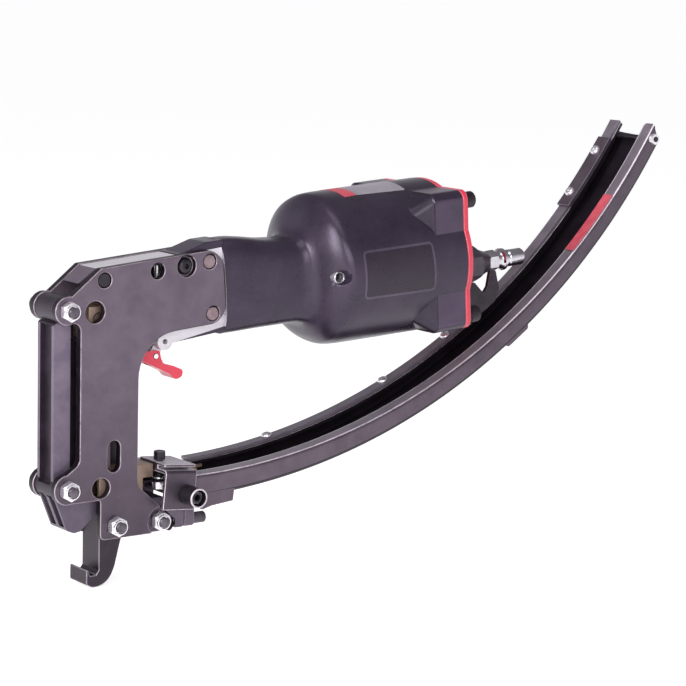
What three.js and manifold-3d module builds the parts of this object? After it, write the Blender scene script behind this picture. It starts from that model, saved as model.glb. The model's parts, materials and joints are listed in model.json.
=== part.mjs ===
// Pneumatic clinch clip tool, in millimetres.
// X runs to the rear of the tool, Y across it, Z up along the travel of the driver blade.
// The origin is on the anvil seat, under the blade, in the middle plane between the two frame plates.

import * as THREE from "three";
import { mergeVertices } from "three/addons/utils/BufferGeometryUtils.js";
import Module from "manifold-3d";

const wasm = await Module();
wasm.setup();

const DEG = Math.PI / 180;

// Clearance between touching pieces, and how far a cutting tool runs past the face it cuts.
const CLEAR = 0.3;
const OVERRUN = 1;

// Facets of a small round and of a large one, and steps in a rounded corner.
const SMALL_SIDES = 12;
const ROUND_SIDES = 20;
const BARREL_SIDES = 40;
const CORNER_STEPS = 4;
const HEX_SIDES = 6;

// Steps in a turn of the coil spring, its sides, and samples over the driver's stroke.
const SPRING_STEPS = 8;
const SPRING_SIDES = 5;
const STROKE_STEPS = 50;

// The most of a side that a rounded corner may take up.
const CORNER_REACH_SHARE = 0.95;

// Two steel plates with the arm's own axes: the rear dowels are the arm's datum.
const arm = {
  rise: 5.1 * DEG,
  dowelX: 74.55,
  dowelZ: 160.3,
  dowelSpacing: 30.3,
  dowelRadius: 4,
  top: 21.65,
  bottom: -21,
  rear: 9.15,
  cornerRadius: 11,
  frontAlong: -71.5,
  holeRow: 14.8,
  fulcrumAlong: -69.8,
  stopHoleAlong: -35.1,
  stopHoleRadius: 4.6,
  buttonAlong: -15.8,
};

const plate = {
  thickness: 5,
  gap: 19.2,
  columnFront: -11.3,
  columnRear: 26.5,
  chamferEndX: -23.5,
  chamferEndZ: 155.9,
  topCornerRadius: 1.5,
  armFillet: 26,
  upperEarX: -19.5,
  upperEarZ: 153.2,
  upperEarRadius: 8,
  lowerEarX: -19,
  lowerEarZ: 52.5,
  lowerEarRadius: 8.5,
  earShelfZ: 139.5,
  earShelfEndX: -16.5,
  earShelfEndZ: 146,
  earShelfRadius: 2,
  earRampX: -24.5,
  earRampZ: 57.5,
  earRampTopZ: 66.5,
  earRampRadius: 6,
  notchX: 2.2,
  notchZ: 44.3,
  notchRadius: 1.5,
  footZ: 21.1,
  footFrontRadius: 3,
  flankTopZ: 50.2,
  flankRadius: 8,
  footRearX: 51.5,
  footRearZ: 27.8,
  footEndX: 50.5,
  footRearRadius: 4,
  accessX: -2.3,
  accessZ: 151.4,
  accessRadius: 6.25,
  windowX: 2.5,
  windowZ: 51.2,
  windowRadius: 5.8,
  slotX: 10.7,
  slotZ: 68.7,
  slotWidth: 8.4,
  slotHeight: 18.2,
};

// The four frame bolts and their locking nuts.
const bolt = {
  radius: 3,
  headRadius: 5,
  headHeight: 6,
  socketRadius: 2.5,
  socketDepth: 3,
  pastNut: 1.2,
  nutAcross: 10,
  nutHex: 4.4,
  collarRadius: 4.5,
  collarHeight: 1.8,
  anvilX: 12.1,
  anvilZ: 28.7,
  rootX: 42.4,
  rootZ: 27.6,
  rootRecess: 2.5,
  rootRecessRadius: 8.5,
};

// Button head screws on the sides of the arm.
const button = {
  headRadius: 4.9,
  headHeight: 3,
  recess: 3.4,
  recessRadius: 6.2,
  radius: 2.6,
  reach: 7,
  socket: 1.8,
};

// Front cover casting, between the plates.
const cover = {
  sideGap: 0.6,
  frontX: -25.1,
  sideRearX: -12.8,
  topZ: 146,
  bossRadius: 7.5,
  chinTopZ: 50.3,
  chinX: -16.1,
  chinZ: 27.8,
  chinBottomX: -11.5,
  chinBottomZ: 26,
  noseX: -7.4,
  noseZ: 26.7,
  noseRadius: 12,
  mouthX: 2.9,
  mouthZ: 36,
  chinRearZ: 46,
  chinRadius: 3,
  edgeRadius: 2,
  ribHalf: 5.5,
  ribLowX: -0.8,
  ribHighX: -4.2,
  ribStepZ: 84,
  ribTopZ: 134,
  grooveHalf: 4.6,
  grooveDepth: 3.2,
  grooveLowZ: 62,
  grooveHighZ: 140,
  pocketInset: 1.8,
  pocketDepth: 3.5,
  pocketRibHalf: 1.6,
  bladePlay: 0.6,
};

// Steel blade that drives the clip, with its forked head.
const driver = {
  lineX: 1.8,
  thickness: 4,
  halfWidth: 7,
  tipZ: 54.5,
  headLow: 7.2,
  headHigh: 7,
  headHalf: 6.6,
  forkFloor: 1.6,
  headGap: 1,
};

// Toggle: two equal links from the fulcrum pin to the driver head, pushed at the knee.
const toggle = {
  length: 40,
  restAngle: 74 * DEG,
  endAngle: 25.758 * DEG,
  kneePinRadius: 3.5,
  driverPinRadius: 3,
  eyeRadius: 5.5,
  barHalf: 4.4,
  middleHalf: 2,
  innerThickness: 2.2,
  outerThickness: 2.6,
  slotPlay: 0.45,
  pushLength: 40,
  pushPinRadius: 3,
  pinOver: 0.5,
};

// Rest stop pin under the top block, seen through the plate's stop hole.
const stopPin = { pastHole: 4.9, y: -5.6, radius: 1.5, overKnee: 1.1 };

const topBlock = {
  underside: 17.3,
  lipX: -10.2,
  lipZ: 167.3,
  lipInset: 0.4,
  rearX: 53.4,
  lipRun: 9,
  hubPlay: 0.4,
  pocketLength: 23.6,
};

// Hardened guide behind the blade, and the tan insert that carries the clips to it.
const guide = { play: 0.4, depth: 7.4, lowZ: 60.9, highZ: 84.4 };
const insert = {
  rearX: 40,
  overAnvil: 0.6,
  highZ: 59.2,
  wall: 2.2,
  floorZ: 43,
  roofZ: 55.5,
  neckX: 33.4,
  neckZ: 52.9,
  crestX: 14,
  crestZ: 60.6,
};

const anvil = {
  shankX: 4.6,
  topZ: 40.4,
  rearTopX: 22,
  rearTopZ: 33,
  rearX: 19.6,
  rearZ: 21,
  heelX: 15,
  heelZ: 3.2,
  heelRadius: 14,
  bottomX: 10,
  bottomZ: -7,
  bottomRadius: 12,
  tipX: -3.4,
  tipTopZ: 3.5,
  tipBottomZ: -5,
  tipRadius: 1,
  tipRunX: 0.5,
  tipRunRadius: 3,
  seatFrontX: -1,
  seatRearX: 2.8,
  shankFootZ: 2.4,
  tipFlat: 1,
};

// Casting under the magazine, clamped between the plates by the fourth frame bolt.
const root = {
  tongueFrontX: 24.5,
  tongueTopZ: 40.4,
  bodyRearX: 58,
  bodyTopZ: 34.2,
  bodyLowZ: 22.6,
  bodyHalf: 14.4,
  flankGap: 0.6,
  capGap: 0.6,
  capThickness: 6.6,
  postFrontX: 47,
  radius: 1.5,
};
const thumb = { radius: 3.3, length: 8.6, y: -10.5, ribs: 12, ribDepth: 0.35, shankRadius: 1.9, reach: 12 };

// Bent steel bracket over the front end of the magazine, with a packed-up cover plate on its near half.
const bracket = {
  thickness: 2,
  faceFrontX: 40.6,
  faceRearX: 61.4,
  overRail: 4.1,
  faceHeight: 22.7,
  plateRise: 3.4,
  plateThickness: 1.6,
  plateInset: 2.2,
  plateFarY: 6.5,
  packInset: 7.3,
  bendRadius: 2.2,
  pitch: 5.2 * DEG,
};

// Knob sleeve on the bracket's near side.
const sleeve = {
  x: 54.4,
  z: 43.6,
  radius: 5.7,
  length: 13,
  boreRadius: 3.8,
  boreDepth: 9,
  socketRadius: 2.2,
  socketDepth: 3,
};

// Spring-loaded hold-down leaf with its screw, spring, washers and nut.
const leaf = {
  screwX: 45.6,
  screwY: -7,
  screwRadius: 1.9,
  headRadius: 3.4,
  headHeight: 5,
  socketRadius: 1.6,
  socketDepth: 2.2,
  tipZ: 43.8,
  leafTopZ: 51,
  leafThickness: 1.4,
  leafFrontX: 34,
  leafRearX: 50.5,
  leafHalf: 9,
  washerRadius: 4,
  washerHeight: 0.9,
  pocketDrop: 2.5,
  nutAcross: 7,
  nutHeight: 3.2,
  springWire: 0.55,
  springRadius: 2.9,
  springTurns: 3,
};

// Curved clip magazine: a channel bent round a centre far above it, level where its flanges are lowest.
const magazine = {
  levelX: 61.5,
  railZ: 53.5,
  flangeRadius: 414.6,
  depthFront: 13.6,
  depthRear: 10.6,
  halfWidth: 20.25,
  openHalf: 10.8,
  sheet: 2,
  startAngle: -1.2 * DEG,
  endAngle: 58.1 * DEG,
  webEndAngle: 57.1 * DEG,
  lipLap: 1 * DEG,
  cutBeyond: 2 * DEG,
  bumpStart: 32.9 * DEG,
  bumpEnd: 35.8 * DEG,
  bumpLift: 1.4,
  stepAngle: 2.65 * DEG,
};

// What lies on the magazine's far flange: a strip, its screws and a plate that holds the clips down.
const farStrip = { lift: 2, mouthEdge: 0.8, outerEdge: 0.85, start: 2.2 * DEG, end: 57.6 * DEG };
const stripScrew = {
  radius: 3.4,
  height: 2,
  shankRadius: 1.5,
  reach: 2,
  angles: [10.4 * DEG, 23.1 * DEG, 30.7 * DEG],
};
const holdDown = {
  start: 47.9 * DEG,
  end: 55.6 * DEG,
  thickness: 1.8,
  mouthLip: 2.2,
  outerEdge: 0.45,
  angles: [49.4 * DEG, 54.1 * DEG],
};
const endBolt = {
  angle: 56.5 * DEG,
  depthShare: 0.35,
  radius: 1.8,
  nutAcross: 6.4,
  nutHeight: 3,
  pastNut: 0.6,
  headRadius: 3,
  headHeight: 2.4,
};
const tag = { start: 43.5 * DEG, end: 50 * DEG, thickness: 0.5, inset: 0.9 };

// Lugs under the front of the magazine, one at each web.
const rootTab = {
  frontX: 66.4,
  frontZ: 32.2,
  midX: 73.3,
  midZ: 34,
  midRadius: 2,
  rearX: 88.2,
  rearZ: 35.4,
  rearRadius: 1,
  topX: 89.2,
  underRail: 10.5,
  thickness: 3.25,
};
const pusher = {
  start: 0.2 * DEG,
  blockEnd: 1.1 * DEG,
  end: 3.4 * DEG,
  mouthPlay: 0.6,
  crest: 1,
  depth: 8.4,
  wingPlay: 0.35,
  wingThickness: 2,
};

// Cylinder casting on the barrel's own axes: along it to the rear, and up across it.
const barrel = { rise: 4.3 * DEG, x: 74.55, z: 157.9 };
const housing = {
  shoulderLength: 88,
  rearRoom: 17.8,
  radius: 46.2,
  // Stations of the outer form. The first share is along: up to 1 of the shoulder, and from 1 to 2 of the
  // rest. The others are the half width, the top and the bottom, as shares of the radius.
  formShares: [
    // The neck, square in section.
    [0.125, 0.281, 0.613, 0.597],
    [0.227, 0.32, 0.606, 0.597],
    [0.364, 0.364, 0.569, 0.593],
    [0.523, 0.394, 0.515, 0.595],
    [0.682, 0.407, 0.494, 0.606],
    // The swell from the neck to the barrel.
    [0.739, 0.455, 0.526, 0.632],
    [0.77, 0.541, 0.604, 0.686],
    [0.795, 0.649, 0.701, 0.753],
    [0.82, 0.749, 0.79, 0.818],
    [0.85, 0.842, 0.874, 0.874],
    [0.884, 0.922, 0.95, 0.926],
    // The round barrel.
    [0.926, 0.972, 0.996, 0.961],
    [1, 0.987, 1.004, 0.976],
    [1.396, 0.996, 1.004, 0.991],
    [2, 1, 1.004, 1.009],
  ],
  neckStations: 5,
  swellStations: 6,
  neckPower: 3.4,
  barrelPower: 2,
  lugGap: 0.5,
  lugChamfer: 3.6,
  upperLugUnder: 11,
  lowerLugTop: 8.2,
  lowerLugRampX: 68,
  lowerLugFrontX: 44,
  lowerLugFrontZ: 138,
  lowerLugBottomZ: 134,
  lowerLugBottomX: 88,
  lowerLugBottomRise: 4.5,
  lugLap: 2,
  earX: 47,
  earZ: 130.5,
  earRadius: 5,
  earHoleRadius: 1.4,
  noseHump: 28.1,
  noseMiddleAlong: 1.5,
  wall: 7.7,
  boreSetback: 4,
  rodBoreRadius: 8.9,
  rodBoreFront: -40,
  padStep: 3.8,
  padRadius: 6,
  padLength: 21.8,
  padRampLength: 11,
  padRampDrop: 8.4,
  portAlong: 71,
  portUp: 3,
  portRadius: 3.6,
  portDepth: 9,
};
const cap = {
  thickness: 4,
  bossRadius: 19,
  bossDrop: 12.5,
  bossLength: 22.5,
  screwEdge: 7.2,
  screwRadius: 2.9,
  headRadius: 5,
  headHeight: 6.6,
  washerRadius: 4.5,
  washerHeight: 1.4,
  reach: 18,
  spigotPlay: 0.6,
  spigotLength: 5,
};
const inlet = {
  across: 20,
  hexLength: 15.4,
  length: 23.4,
  endRadius: 6.6,
  stemPlay: 0.6,
  neckRadius: 5.6,
  neckLength: 6,
  neckPlay: 0.4,
};
const plug = {
  hexAcross: 12,
  hexLength: 7.4,
  neckRadius: 4.9,
  neckLength: 4,
  collarRadius: 7,
  collarLength: 3.4,
  grooveRadius: 4.4,
  grooveLength: 3.4,
  noseRadius: 5.4,
  noseLength: 11.4,
  noseTip: 1,
  stemRadius: 4.4,
  stemLength: 6,
  boreRadius: 2.4,
};

// Hanger hook; its places are counted from the cap's face and from its screw.
const hook = {
  tabThickness: 2,
  tabOuter: 4.3,
  tabUp: 9.2,
  tabDown: 5.8,
  armInset: 8.8,
  armThickness: 2.6,
  lowRearAlong: 21.8,
  lowRearUp: -2.5,
  lowRearRadius: 5.6,
  heelAlong: 32.2,
  heelUp: 3.3,
  heelRadius: 4.2,
  backAlong: 35.6,
  backUp: 10.5,
  tipRearAlong: 33.2,
  tipRearUp: 22.2,
  tipFrontAlong: 29,
  tipFrontUp: 23.2,
  crotchRearAlong: 26.3,
  crotchRearUp: 12.8,
  crotchFrontAlong: 23.2,
  crotchFrontUp: 9.2,
  upperRearAlong: 16,
  upperRearUp: 17.2,
  radius: 1.4,
};

const piston = {
  endGap: 2.4,
  thickness: 12,
  play: 0.4,
  sealPlay: 0.2,
  grooveDepth: 2.9,
  sealHalf: 2,
  rodRadius: 6.5,
  crownHollowRadius: 24,
  crownHollowDepth: 5,
  clevisFront: 7.5,
  clevisRear: 11,
  clevisHalf: 7.4,
  clevisRound: 7.9,
};
const bumper = { innerRadius: 12, outerRadius: 30, thickness: 10.5 };

// Trigger; its places are counted from its pivot, and the pivot from the housing's lower ear.
const trigger = {
  pivotBack: -4,
  pivotDown: -8.5,
  pinRadius: 1.6,
  halfWidth: 6.2,
  slotHalf: 4.1,
  lugHalf: 3.7,
  lugRadius: 4,
  frontX: -9.4,
  frontZ: -2.1,
  topFrontX: -7,
  topZ: 3.2,
  topRearX: 2.4,
  backX: 3.4,
  backZ: -1.4,
  kneeX: 5.2,
  kneeZ: -4.8,
  padX: 18,
  padZ: -9.6,
  lipX: 17.6,
  lipZ: -13,
  curlX: 13.4,
  curlZ: -14.8,
  bellyX: 3.6,
  bellyZ: -8.2,
  bellyRadius: 4.8,
  radius: 1.6,
  web: 2.2,
};
const stem = { radius: 1.4, aboveEar: 2.5, play: 1.4 };

const plateInner = plate.gap / 2;
const plateOuter = plateInner + plate.thickness;
// Half width of what fills the space between the plates.
const fillHalf = plateInner - CLEAR;
const boreRadius = housing.radius - housing.wall;
const padHalf = housing.radius - housing.padStep;
const screwOffset = padHalf - cap.screwEdge;
const boreFront = housing.shoulderLength + housing.boreSetback;
const lugRear = housing.shoulderLength * housing.formShares[0][0] + housing.lugLap;
const centreX = magazine.levelX;
const centreZ = magazine.railZ + magazine.flangeRadius;
const guideFront = driver.lineX + driver.thickness / 2 + guide.play;
const triggerPivot = [housing.earX + trigger.pivotBack, housing.earZ + trigger.pivotDown];
const faceTopZ = magazine.railZ + bracket.overRail;
const plateTopZ = faceTopZ + bracket.plateRise;

// Y limits of the links, stacked out from the middle plane.
const innerLow = toggle.middleHalf + CLEAR;
const innerHigh = innerLow + toggle.innerThickness;
const outerLow = innerHigh + CLEAR;
const outerHigh = outerLow + toggle.outerThickness;

// Y limits of what lies on the far flange.
const stripLowY = magazine.openHalf + farStrip.mouthEdge;
const stripHighY = magazine.halfWidth - farStrip.outerEdge;
const stripY = (stripLowY + stripHighY) / 2;

/** A point given along and across the arm, as frame X and Z. */
function armAt(along, up) {
  return [
    arm.dowelX + along * Math.cos(arm.rise) - up * Math.sin(arm.rise),
    arm.dowelZ + along * Math.sin(arm.rise) + up * Math.cos(arm.rise),
  ];
}

/** A point of the frame, as along and across the barrel. */
function toBarrel([x, z]) {
  const dx = x - barrel.x;
  const dz = z - barrel.z;
  return [
    dx * Math.cos(barrel.rise) + dz * Math.sin(barrel.rise),
    dz * Math.cos(barrel.rise) - dx * Math.sin(barrel.rise),
  ];
}

/** A point of the magazine's arc, with the angle counted from straight below its centre. */
function arcAt(angle, radius) {
  return [centreX + radius * Math.sin(angle), centreZ - radius * Math.cos(angle)];
}

/** Radial depth of the channel: it tapers evenly from its front end to its rear end. */
function channelDepth(angle) {
  const share = (angle - magazine.startAngle) / (magazine.endAngle - magazine.startAngle);
  return magazine.depthFront + (magazine.depthRear - magazine.depthFront) * share;
}

const fulcrum = armAt(arm.fulcrumAlong, arm.holeRow);
const upperDowel = armAt(0, arm.dowelSpacing / 2);
const lowerDowel = armAt(0, -arm.dowelSpacing / 2);
const buttonPlace = armAt(arm.buttonAlong, arm.holeRow);
const stopHole = armAt(arm.stopHoleAlong, arm.holeRow);

/** Where the knee stands when the links lie at an angle from straight down. */
function kneeAt(angle) {
  return [fulcrum[0] + toggle.length * Math.sin(angle), fulcrum[1] - toggle.length * Math.cos(angle)];
}

/** Angle of the push link above the X axis that brings its far pin onto the barrel's axis. */
function pushAngle(place) {
  return barrel.rise + Math.asin(-toBarrel(place)[1] / toggle.pushLength);
}

/** The far pin of the push link for a knee and an angle. */
function pushPin(place, angle) {
  return [place[0] + toggle.pushLength * Math.cos(angle), place[1] + toggle.pushLength * Math.sin(angle)];
}

const knee = kneeAt(toggle.restAngle);
const kneeEnd = kneeAt(toggle.endAngle);
const pushRest = pushAngle(knee);
const pushTurn = pushAngle(kneeEnd) - pushRest;
const pushEnd = pushPin(knee, pushRest);
const pistonTravel = toBarrel(pushEnd)[0] - toBarrel(pushPin(kneeEnd, pushRest + pushTurn))[0];
const pistonFront = boreFront + CLEAR + bumper.thickness + pistonTravel + piston.endGap;
const housingLength = pistonFront + piston.thickness + housing.rearRoom;
const capFront = housingLength + CLEAR;
const capRear = capFront + cap.thickness;
const driverPinZ = fulcrum[1] - 2 * toggle.length * Math.cos(toggle.restAngle);
const swing = toggle.restAngle - toggle.endAngle;
const stroke = 2 * toggle.length * (Math.cos(toggle.endAngle) - Math.cos(toggle.restAngle));

/** Limits of a value over the stroke, from its value at each share of the way. */
function limits(valueAt) {
  const values = Array.from({ length: STROKE_STEPS + 1 }, (_, i) => valueAt(i / STROKE_STEPS));
  return [Math.min(...values), Math.max(...values)];
}

/** Where the push pin is on the barrel's axes, seen from the piston, at a share of the stroke. */
function pinInClevis(share) {
  const place = kneeAt(toggle.restAngle - swing * share);
  const [along, up] = toBarrel(pushPin(place, pushRest + pushTurn * share));
  return [along + pistonTravel * share, up];
}

const finish = {
  platesteel: new THREE.MeshStandardMaterial({ color: 0x5c5460, roughness: 0.45, metalness: 0.8 }),
  casting: new THREE.MeshStandardMaterial({ color: 0x2b272c, roughness: 0.55, metalness: 0.3 }),
  paint: new THREE.MeshStandardMaterial({ color: 0x211f23, roughness: 0.6, metalness: 0.1 }),
  red: new THREE.MeshStandardMaterial({ color: 0xe02a44, roughness: 0.4, metalness: 0.1 }),
  zinc: new THREE.MeshStandardMaterial({ color: 0xd8d6da, roughness: 0.25, metalness: 1 }),
  chrome: new THREE.MeshStandardMaterial({ color: 0xe8e8ec, roughness: 0.08, metalness: 1 }),
  blackSteel: new THREE.MeshStandardMaterial({ color: 0x2e2b30, roughness: 0.4, metalness: 0.8 }),
  tan: new THREE.MeshStandardMaterial({ color: 0x8a7767, roughness: 0.5, metalness: 0.6 }),
  dowel: new THREE.MeshStandardMaterial({ color: 0x7d6a66, roughness: 0.45, metalness: 0.7 }),
  aluminium: new THREE.MeshStandardMaterial({ color: 0xb9b3bd, roughness: 0.45, metalness: 0.7 }),
  rubber: new THREE.MeshStandardMaterial({ color: 0x1b1b1b, roughness: 0.9, metalness: 0 }),
};

const tool = new THREE.Group();
const barrelGroup = new THREE.Group();
barrelGroup.position.set(barrel.x, 0, barrel.z);
barrelGroup.rotation.y = -barrel.rise;
tool.add(barrelGroup);

/** A closed geometry as a solid for joining and cutting, with its faces pointing out. */
function solid(geometry) {
  const bare = geometry.index ? geometry.toNonIndexed() : geometry.clone();
  bare.deleteAttribute("normal");
  bare.deleteAttribute("uv");
  const merged = mergeVertices(bare);
  const vertices = merged.attributes.position.array;
  const triangles = Uint32Array.from(merged.index.array);
  if (signedVolume(vertices, triangles) < 0) {
    for (let i = 0; i < triangles.length; i += 3) {
      [triangles[i], triangles[i + 1]] = [triangles[i + 1], triangles[i]];
    }
  }
  return new wasm.Manifold(new wasm.Mesh({ numProp: 3, vertProperties: vertices, triVerts: triangles }));
}

function signedVolume(vertices, triangles) {
  const corner = (i) => new THREE.Vector3().fromArray(vertices, 3 * triangles[i]);
  let volume = 0;
  for (let i = 0; i < triangles.length; i += 3) {
    volume += corner(i).dot(corner(i + 1).cross(corner(i + 2)));
  }
  return volume;
}

/** A solid as a geometry that a mesh can show. */
function geometryOf(body) {
  const mesh = body.getMesh();
  const positions = new Float32Array((mesh.vertProperties.length / mesh.numProp) * 3);
  for (let i = 0; i < positions.length / 3; i += 1) {
    for (let k = 0; k < 3; k += 1) positions[3 * i + k] = mesh.vertProperties[mesh.numProp * i + k];
  }
  const geometry = new THREE.BufferGeometry();
  geometry.setAttribute("position", new THREE.BufferAttribute(positions, 3));
  geometry.setIndex(Array.from(mesh.triVerts));
  geometry.computeVertexNormals();
  return geometry;
}

function join(first, ...others) {
  return others.reduce((body, other) => body.add(other), first);
}

function cut(first, ...others) {
  return others.reduce((body, other) => body.subtract(other), first);
}

/** Puts a finished solid into the scene graph under its name. */
function piece(name, body, material, parent = tool) {
  const mesh = new THREE.Mesh(geometryOf(body), material);
  mesh.name = name;
  parent.add(mesh);
  return mesh;
}

/** An outline from its corners, each an [across, up, radius], with the corners rounded. */
function outline(corners, steps = CORNER_STEPS) {
  const points = corners.flatMap((corner, i) => {
    const before = corners[(i + corners.length - 1) % corners.length];
    const after = corners[(i + 1) % corners.length];
    if (!corner[2]) return [new THREE.Vector2(corner[0], corner[1])];
    return roundedCorner(before, corner, after, steps);
  });
  return new THREE.Shape(points);
}

function roundedCorner(before, corner, after, steps) {
  const here = new THREE.Vector2(corner[0], corner[1]);
  const back = new THREE.Vector2(before[0], before[1]).sub(here);
  const ahead = new THREE.Vector2(after[0], after[1]).sub(here);
  const side = Math.min(back.length(), ahead.length());
  back.normalize();
  ahead.normalize();
  const half = Math.acos(THREE.MathUtils.clamp(back.dot(ahead), -1, 1)) / 2;
  const run = Math.min(corner[2] / Math.tan(half), side * CORNER_REACH_SHARE);
  const radius = run * Math.tan(half);
  const inward = back.clone().add(ahead).normalize();
  const centre = here.clone().addScaledVector(inward, radius / Math.sin(half));
  const from = here.clone().add(back.multiplyScalar(run)).sub(centre);
  const to = here.clone().add(ahead.multiplyScalar(run)).sub(centre);
  const turn = Math.atan2(from.cross(to), from.dot(to));
  const origin = new THREE.Vector2();
  const pointAt = (_, i) => from.clone().rotateAround(origin, (turn * i) / steps).add(centre);
  return Array.from({ length: steps + 1 }, pointAt);
}

/** An X-Z outline as a slab between two Y values. */
function slabY(shape, low, high) {
  const geometry = new THREE.ExtrudeGeometry(shape, { depth: high - low, bevelEnabled: false, steps: 1 });
  geometry.rotateX(Math.PI / 2);
  geometry.translate(0, high, 0);
  return solid(geometry);
}

/** A Y-Z outline as a slab between two X values. */
function slabX(shape, low, high) {
  const geometry = new THREE.ExtrudeGeometry(shape, { depth: high - low, bevelEnabled: false, steps: 1 });
  const [x, y, z] = [new THREE.Vector3(1, 0, 0), new THREE.Vector3(0, 1, 0), new THREE.Vector3(0, 0, 1)];
  geometry.applyMatrix4(new THREE.Matrix4().makeBasis(y, z, x));
  geometry.translate(low, 0, 0);
  return solid(geometry);
}

/** A box from its limits. */
function box(x0, x1, y0, y1, z0, z1) {
  const geometry = new THREE.BoxGeometry(x1 - x0, y1 - y0, z1 - z0);
  geometry.translate((x0 + x1) / 2, (y0 + y1) / 2, (z0 + z1) / 2);
  return solid(geometry);
}

/** A round bar along Y at an X-Z place. */
function barY([x, z], radius, low, high, sides = ROUND_SIDES) {
  const geometry = new THREE.CylinderGeometry(radius, radius, high - low, sides);
  geometry.translate(x, (low + high) / 2, z);
  return solid(geometry);
}

/** A round bar along X at a Y-Z place. */
function barX([y, z], radius, low, high, sides = ROUND_SIDES) {
  const geometry = new THREE.CylinderGeometry(radius, radius, high - low, sides);
  geometry.rotateZ(-Math.PI / 2);
  geometry.translate((low + high) / 2, y, z);
  return solid(geometry);
}

/** A round bar along Z at an X-Y place. */
function barZ([x, y], radius, low, high, sides = ROUND_SIDES) {
  const geometry = new THREE.CylinderGeometry(radius, radius, high - low, sides);
  geometry.rotateX(Math.PI / 2);
  geometry.translate(x, y, (low + high) / 2);
  return solid(geometry);
}

/** A turned solid about X from [along, radius] points that start and end on the axis. */
function turnedX(profile, sides = ROUND_SIDES, y = 0, z = 0) {
  const points = profile.map(([along, radius]) => new THREE.Vector2(radius, along));
  const geometry = new THREE.LatheGeometry(points, sides);
  geometry.rotateZ(-Math.PI / 2);
  geometry.translate(0, y, z);
  return solid(geometry);
}

const hexRadius = (across) => across / 2 / Math.cos(Math.PI / 6);

/** A slab that follows the magazine's arc, between two radii that may change with the angle. */
function arcSlab(start, end, inner, outer, lowY, highY) {
  const steps = Math.ceil((end - start) / magazine.stepAngle);
  const angles = Array.from({ length: steps + 1 }, (_, i) => start + ((end - start) * i) / steps);
  const near = angles.map((angle) => arcAt(angle, inner(angle)));
  const far = angles.map((angle) => arcAt(angle, outer(angle))).reverse();
  const shape = new THREE.Shape([...near, ...far].map(([x, z]) => new THREE.Vector2(x, z)));
  return slabY(shape, lowY, highY);
}

/** Side plate outline without its ears. */
function plateOutline() {
  const top = armAt(arm.frontAlong, arm.top);
  const rearTop = armAt(arm.rear, arm.top);
  const rearBottom = armAt(arm.rear, arm.bottom);
  const slope = Math.tan(arm.rise);
  const underColumn = rearBottom[1] - (rearBottom[0] - plate.columnRear) * slope;
  return outline([
    [plate.chamferEndX, plate.chamferEndZ, 0],
    [...top, plate.topCornerRadius],
    [...rearTop, arm.cornerRadius],
    [...rearBottom, arm.cornerRadius],
    [plate.columnRear, underColumn, plate.armFillet],
    [plate.columnRear, plate.flankTopZ, plate.flankRadius],
    [plate.footRearX, plate.footRearZ, plate.footRearRadius],
    [plate.footEndX, plate.footZ, plate.footRearRadius],
    [plate.notchX, plate.footZ, plate.footFrontRadius],
    [plate.notchX, plate.notchZ, plate.notchRadius],
    [plate.lowerEarX, plate.notchZ, 0],
    [plate.earRampX, plate.earRampZ, 0],
    [plate.columnFront, plate.earRampTopZ, plate.earRampRadius],
    [plate.columnFront, plate.earShelfZ, plate.earShelfRadius],
    [plate.earShelfEndX, plate.earShelfEndZ, 0],
  ]);
}

const upperEar = [plate.upperEarX, plate.upperEarZ];
const lowerEar = [plate.lowerEarX, plate.lowerEarZ];
const anvilBolt = [bolt.anvilX, bolt.anvilZ];
const rootBolt = [bolt.rootX, bolt.rootZ];
const boltPlaces = { upper: upperEar, lower: lowerEar, anvil: anvilBolt, root: rootBolt };

/** A long hole with round ends, upright. */
function uprightSlot(x, z, width, height, low, high) {
  const half = width / 2;
  return slabY(outline([
    [x - half, z - height / 2, half],
    [x + half, z - height / 2, half],
    [x + half, z + height / 2, half],
    [x - half, z + height / 2, half],
  ]), low, high);
}

/** One side plate; side is -1 for the near one and 1 for the far one. */
function sidePlate(side) {
  const low = side < 0 ? -plateOuter : plateInner;
  const high = side < 0 ? -plateInner : plateOuter;
  const from = low - OVERRUN;
  const to = high + OVERRUN;
  const hole = (place, radius, sides = ROUND_SIDES) => barY(place, radius, from, to, sides);
  const body = join(
    slabY(plateOutline(), low, high),
    barY(upperEar, plate.upperEarRadius, low, high),
    barY(lowerEar, plate.lowerEarRadius, low, high),
  );
  const outer = side * plateOuter;
  const recess = (place, radius, depth) =>
    barY(place, radius, ...[outer - side * depth, outer + side * OVERRUN].sort((a, b) => a - b));
  const pins = [fulcrum, upperDowel, lowerDowel].map((place) => hole(place, arm.dowelRadius + CLEAR));
  const bolts = Object.values(boltPlaces).map((place) => hole(place, bolt.radius + CLEAR, SMALL_SIDES));
  const plain = cut(
    body,
    ...pins,
    ...bolts,
    hole([plate.accessX, plate.accessZ], plate.accessRadius),
    hole([plate.windowX, plate.windowZ], plate.windowRadius),
    hole(stopHole, arm.stopHoleRadius),
    hole(buttonPlace, button.radius + CLEAR, SMALL_SIDES),
    recess(buttonPlace, button.recessRadius, button.recess),
    uprightSlot(plate.slotX, plate.slotZ, plate.slotWidth, plate.slotHeight, from, to),
  );
  return side < 0 ? cut(plain, recess(rootBolt, bolt.rootRecessRadius, bolt.rootRecess)) : plain;
}

/** A cap screw through both plates, with its head on the far side. */
function frameBolt([x, z], nutSeat) {
  const headFrom = plateOuter + CLEAR;
  const top = headFrom + bolt.headHeight;
  const end = nutSeat - CLEAR - bolt.nutHex - bolt.collarHeight - bolt.pastNut;
  return cut(
    join(
      barY([x, z], bolt.radius, end, headFrom + OVERRUN, SMALL_SIDES),
      barY([x, z], bolt.headRadius, headFrom, top),
    ),
    barY([x, z], bolt.socketRadius, top - bolt.socketDepth, top + OVERRUN, HEX_SIDES),
  );
}

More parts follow.
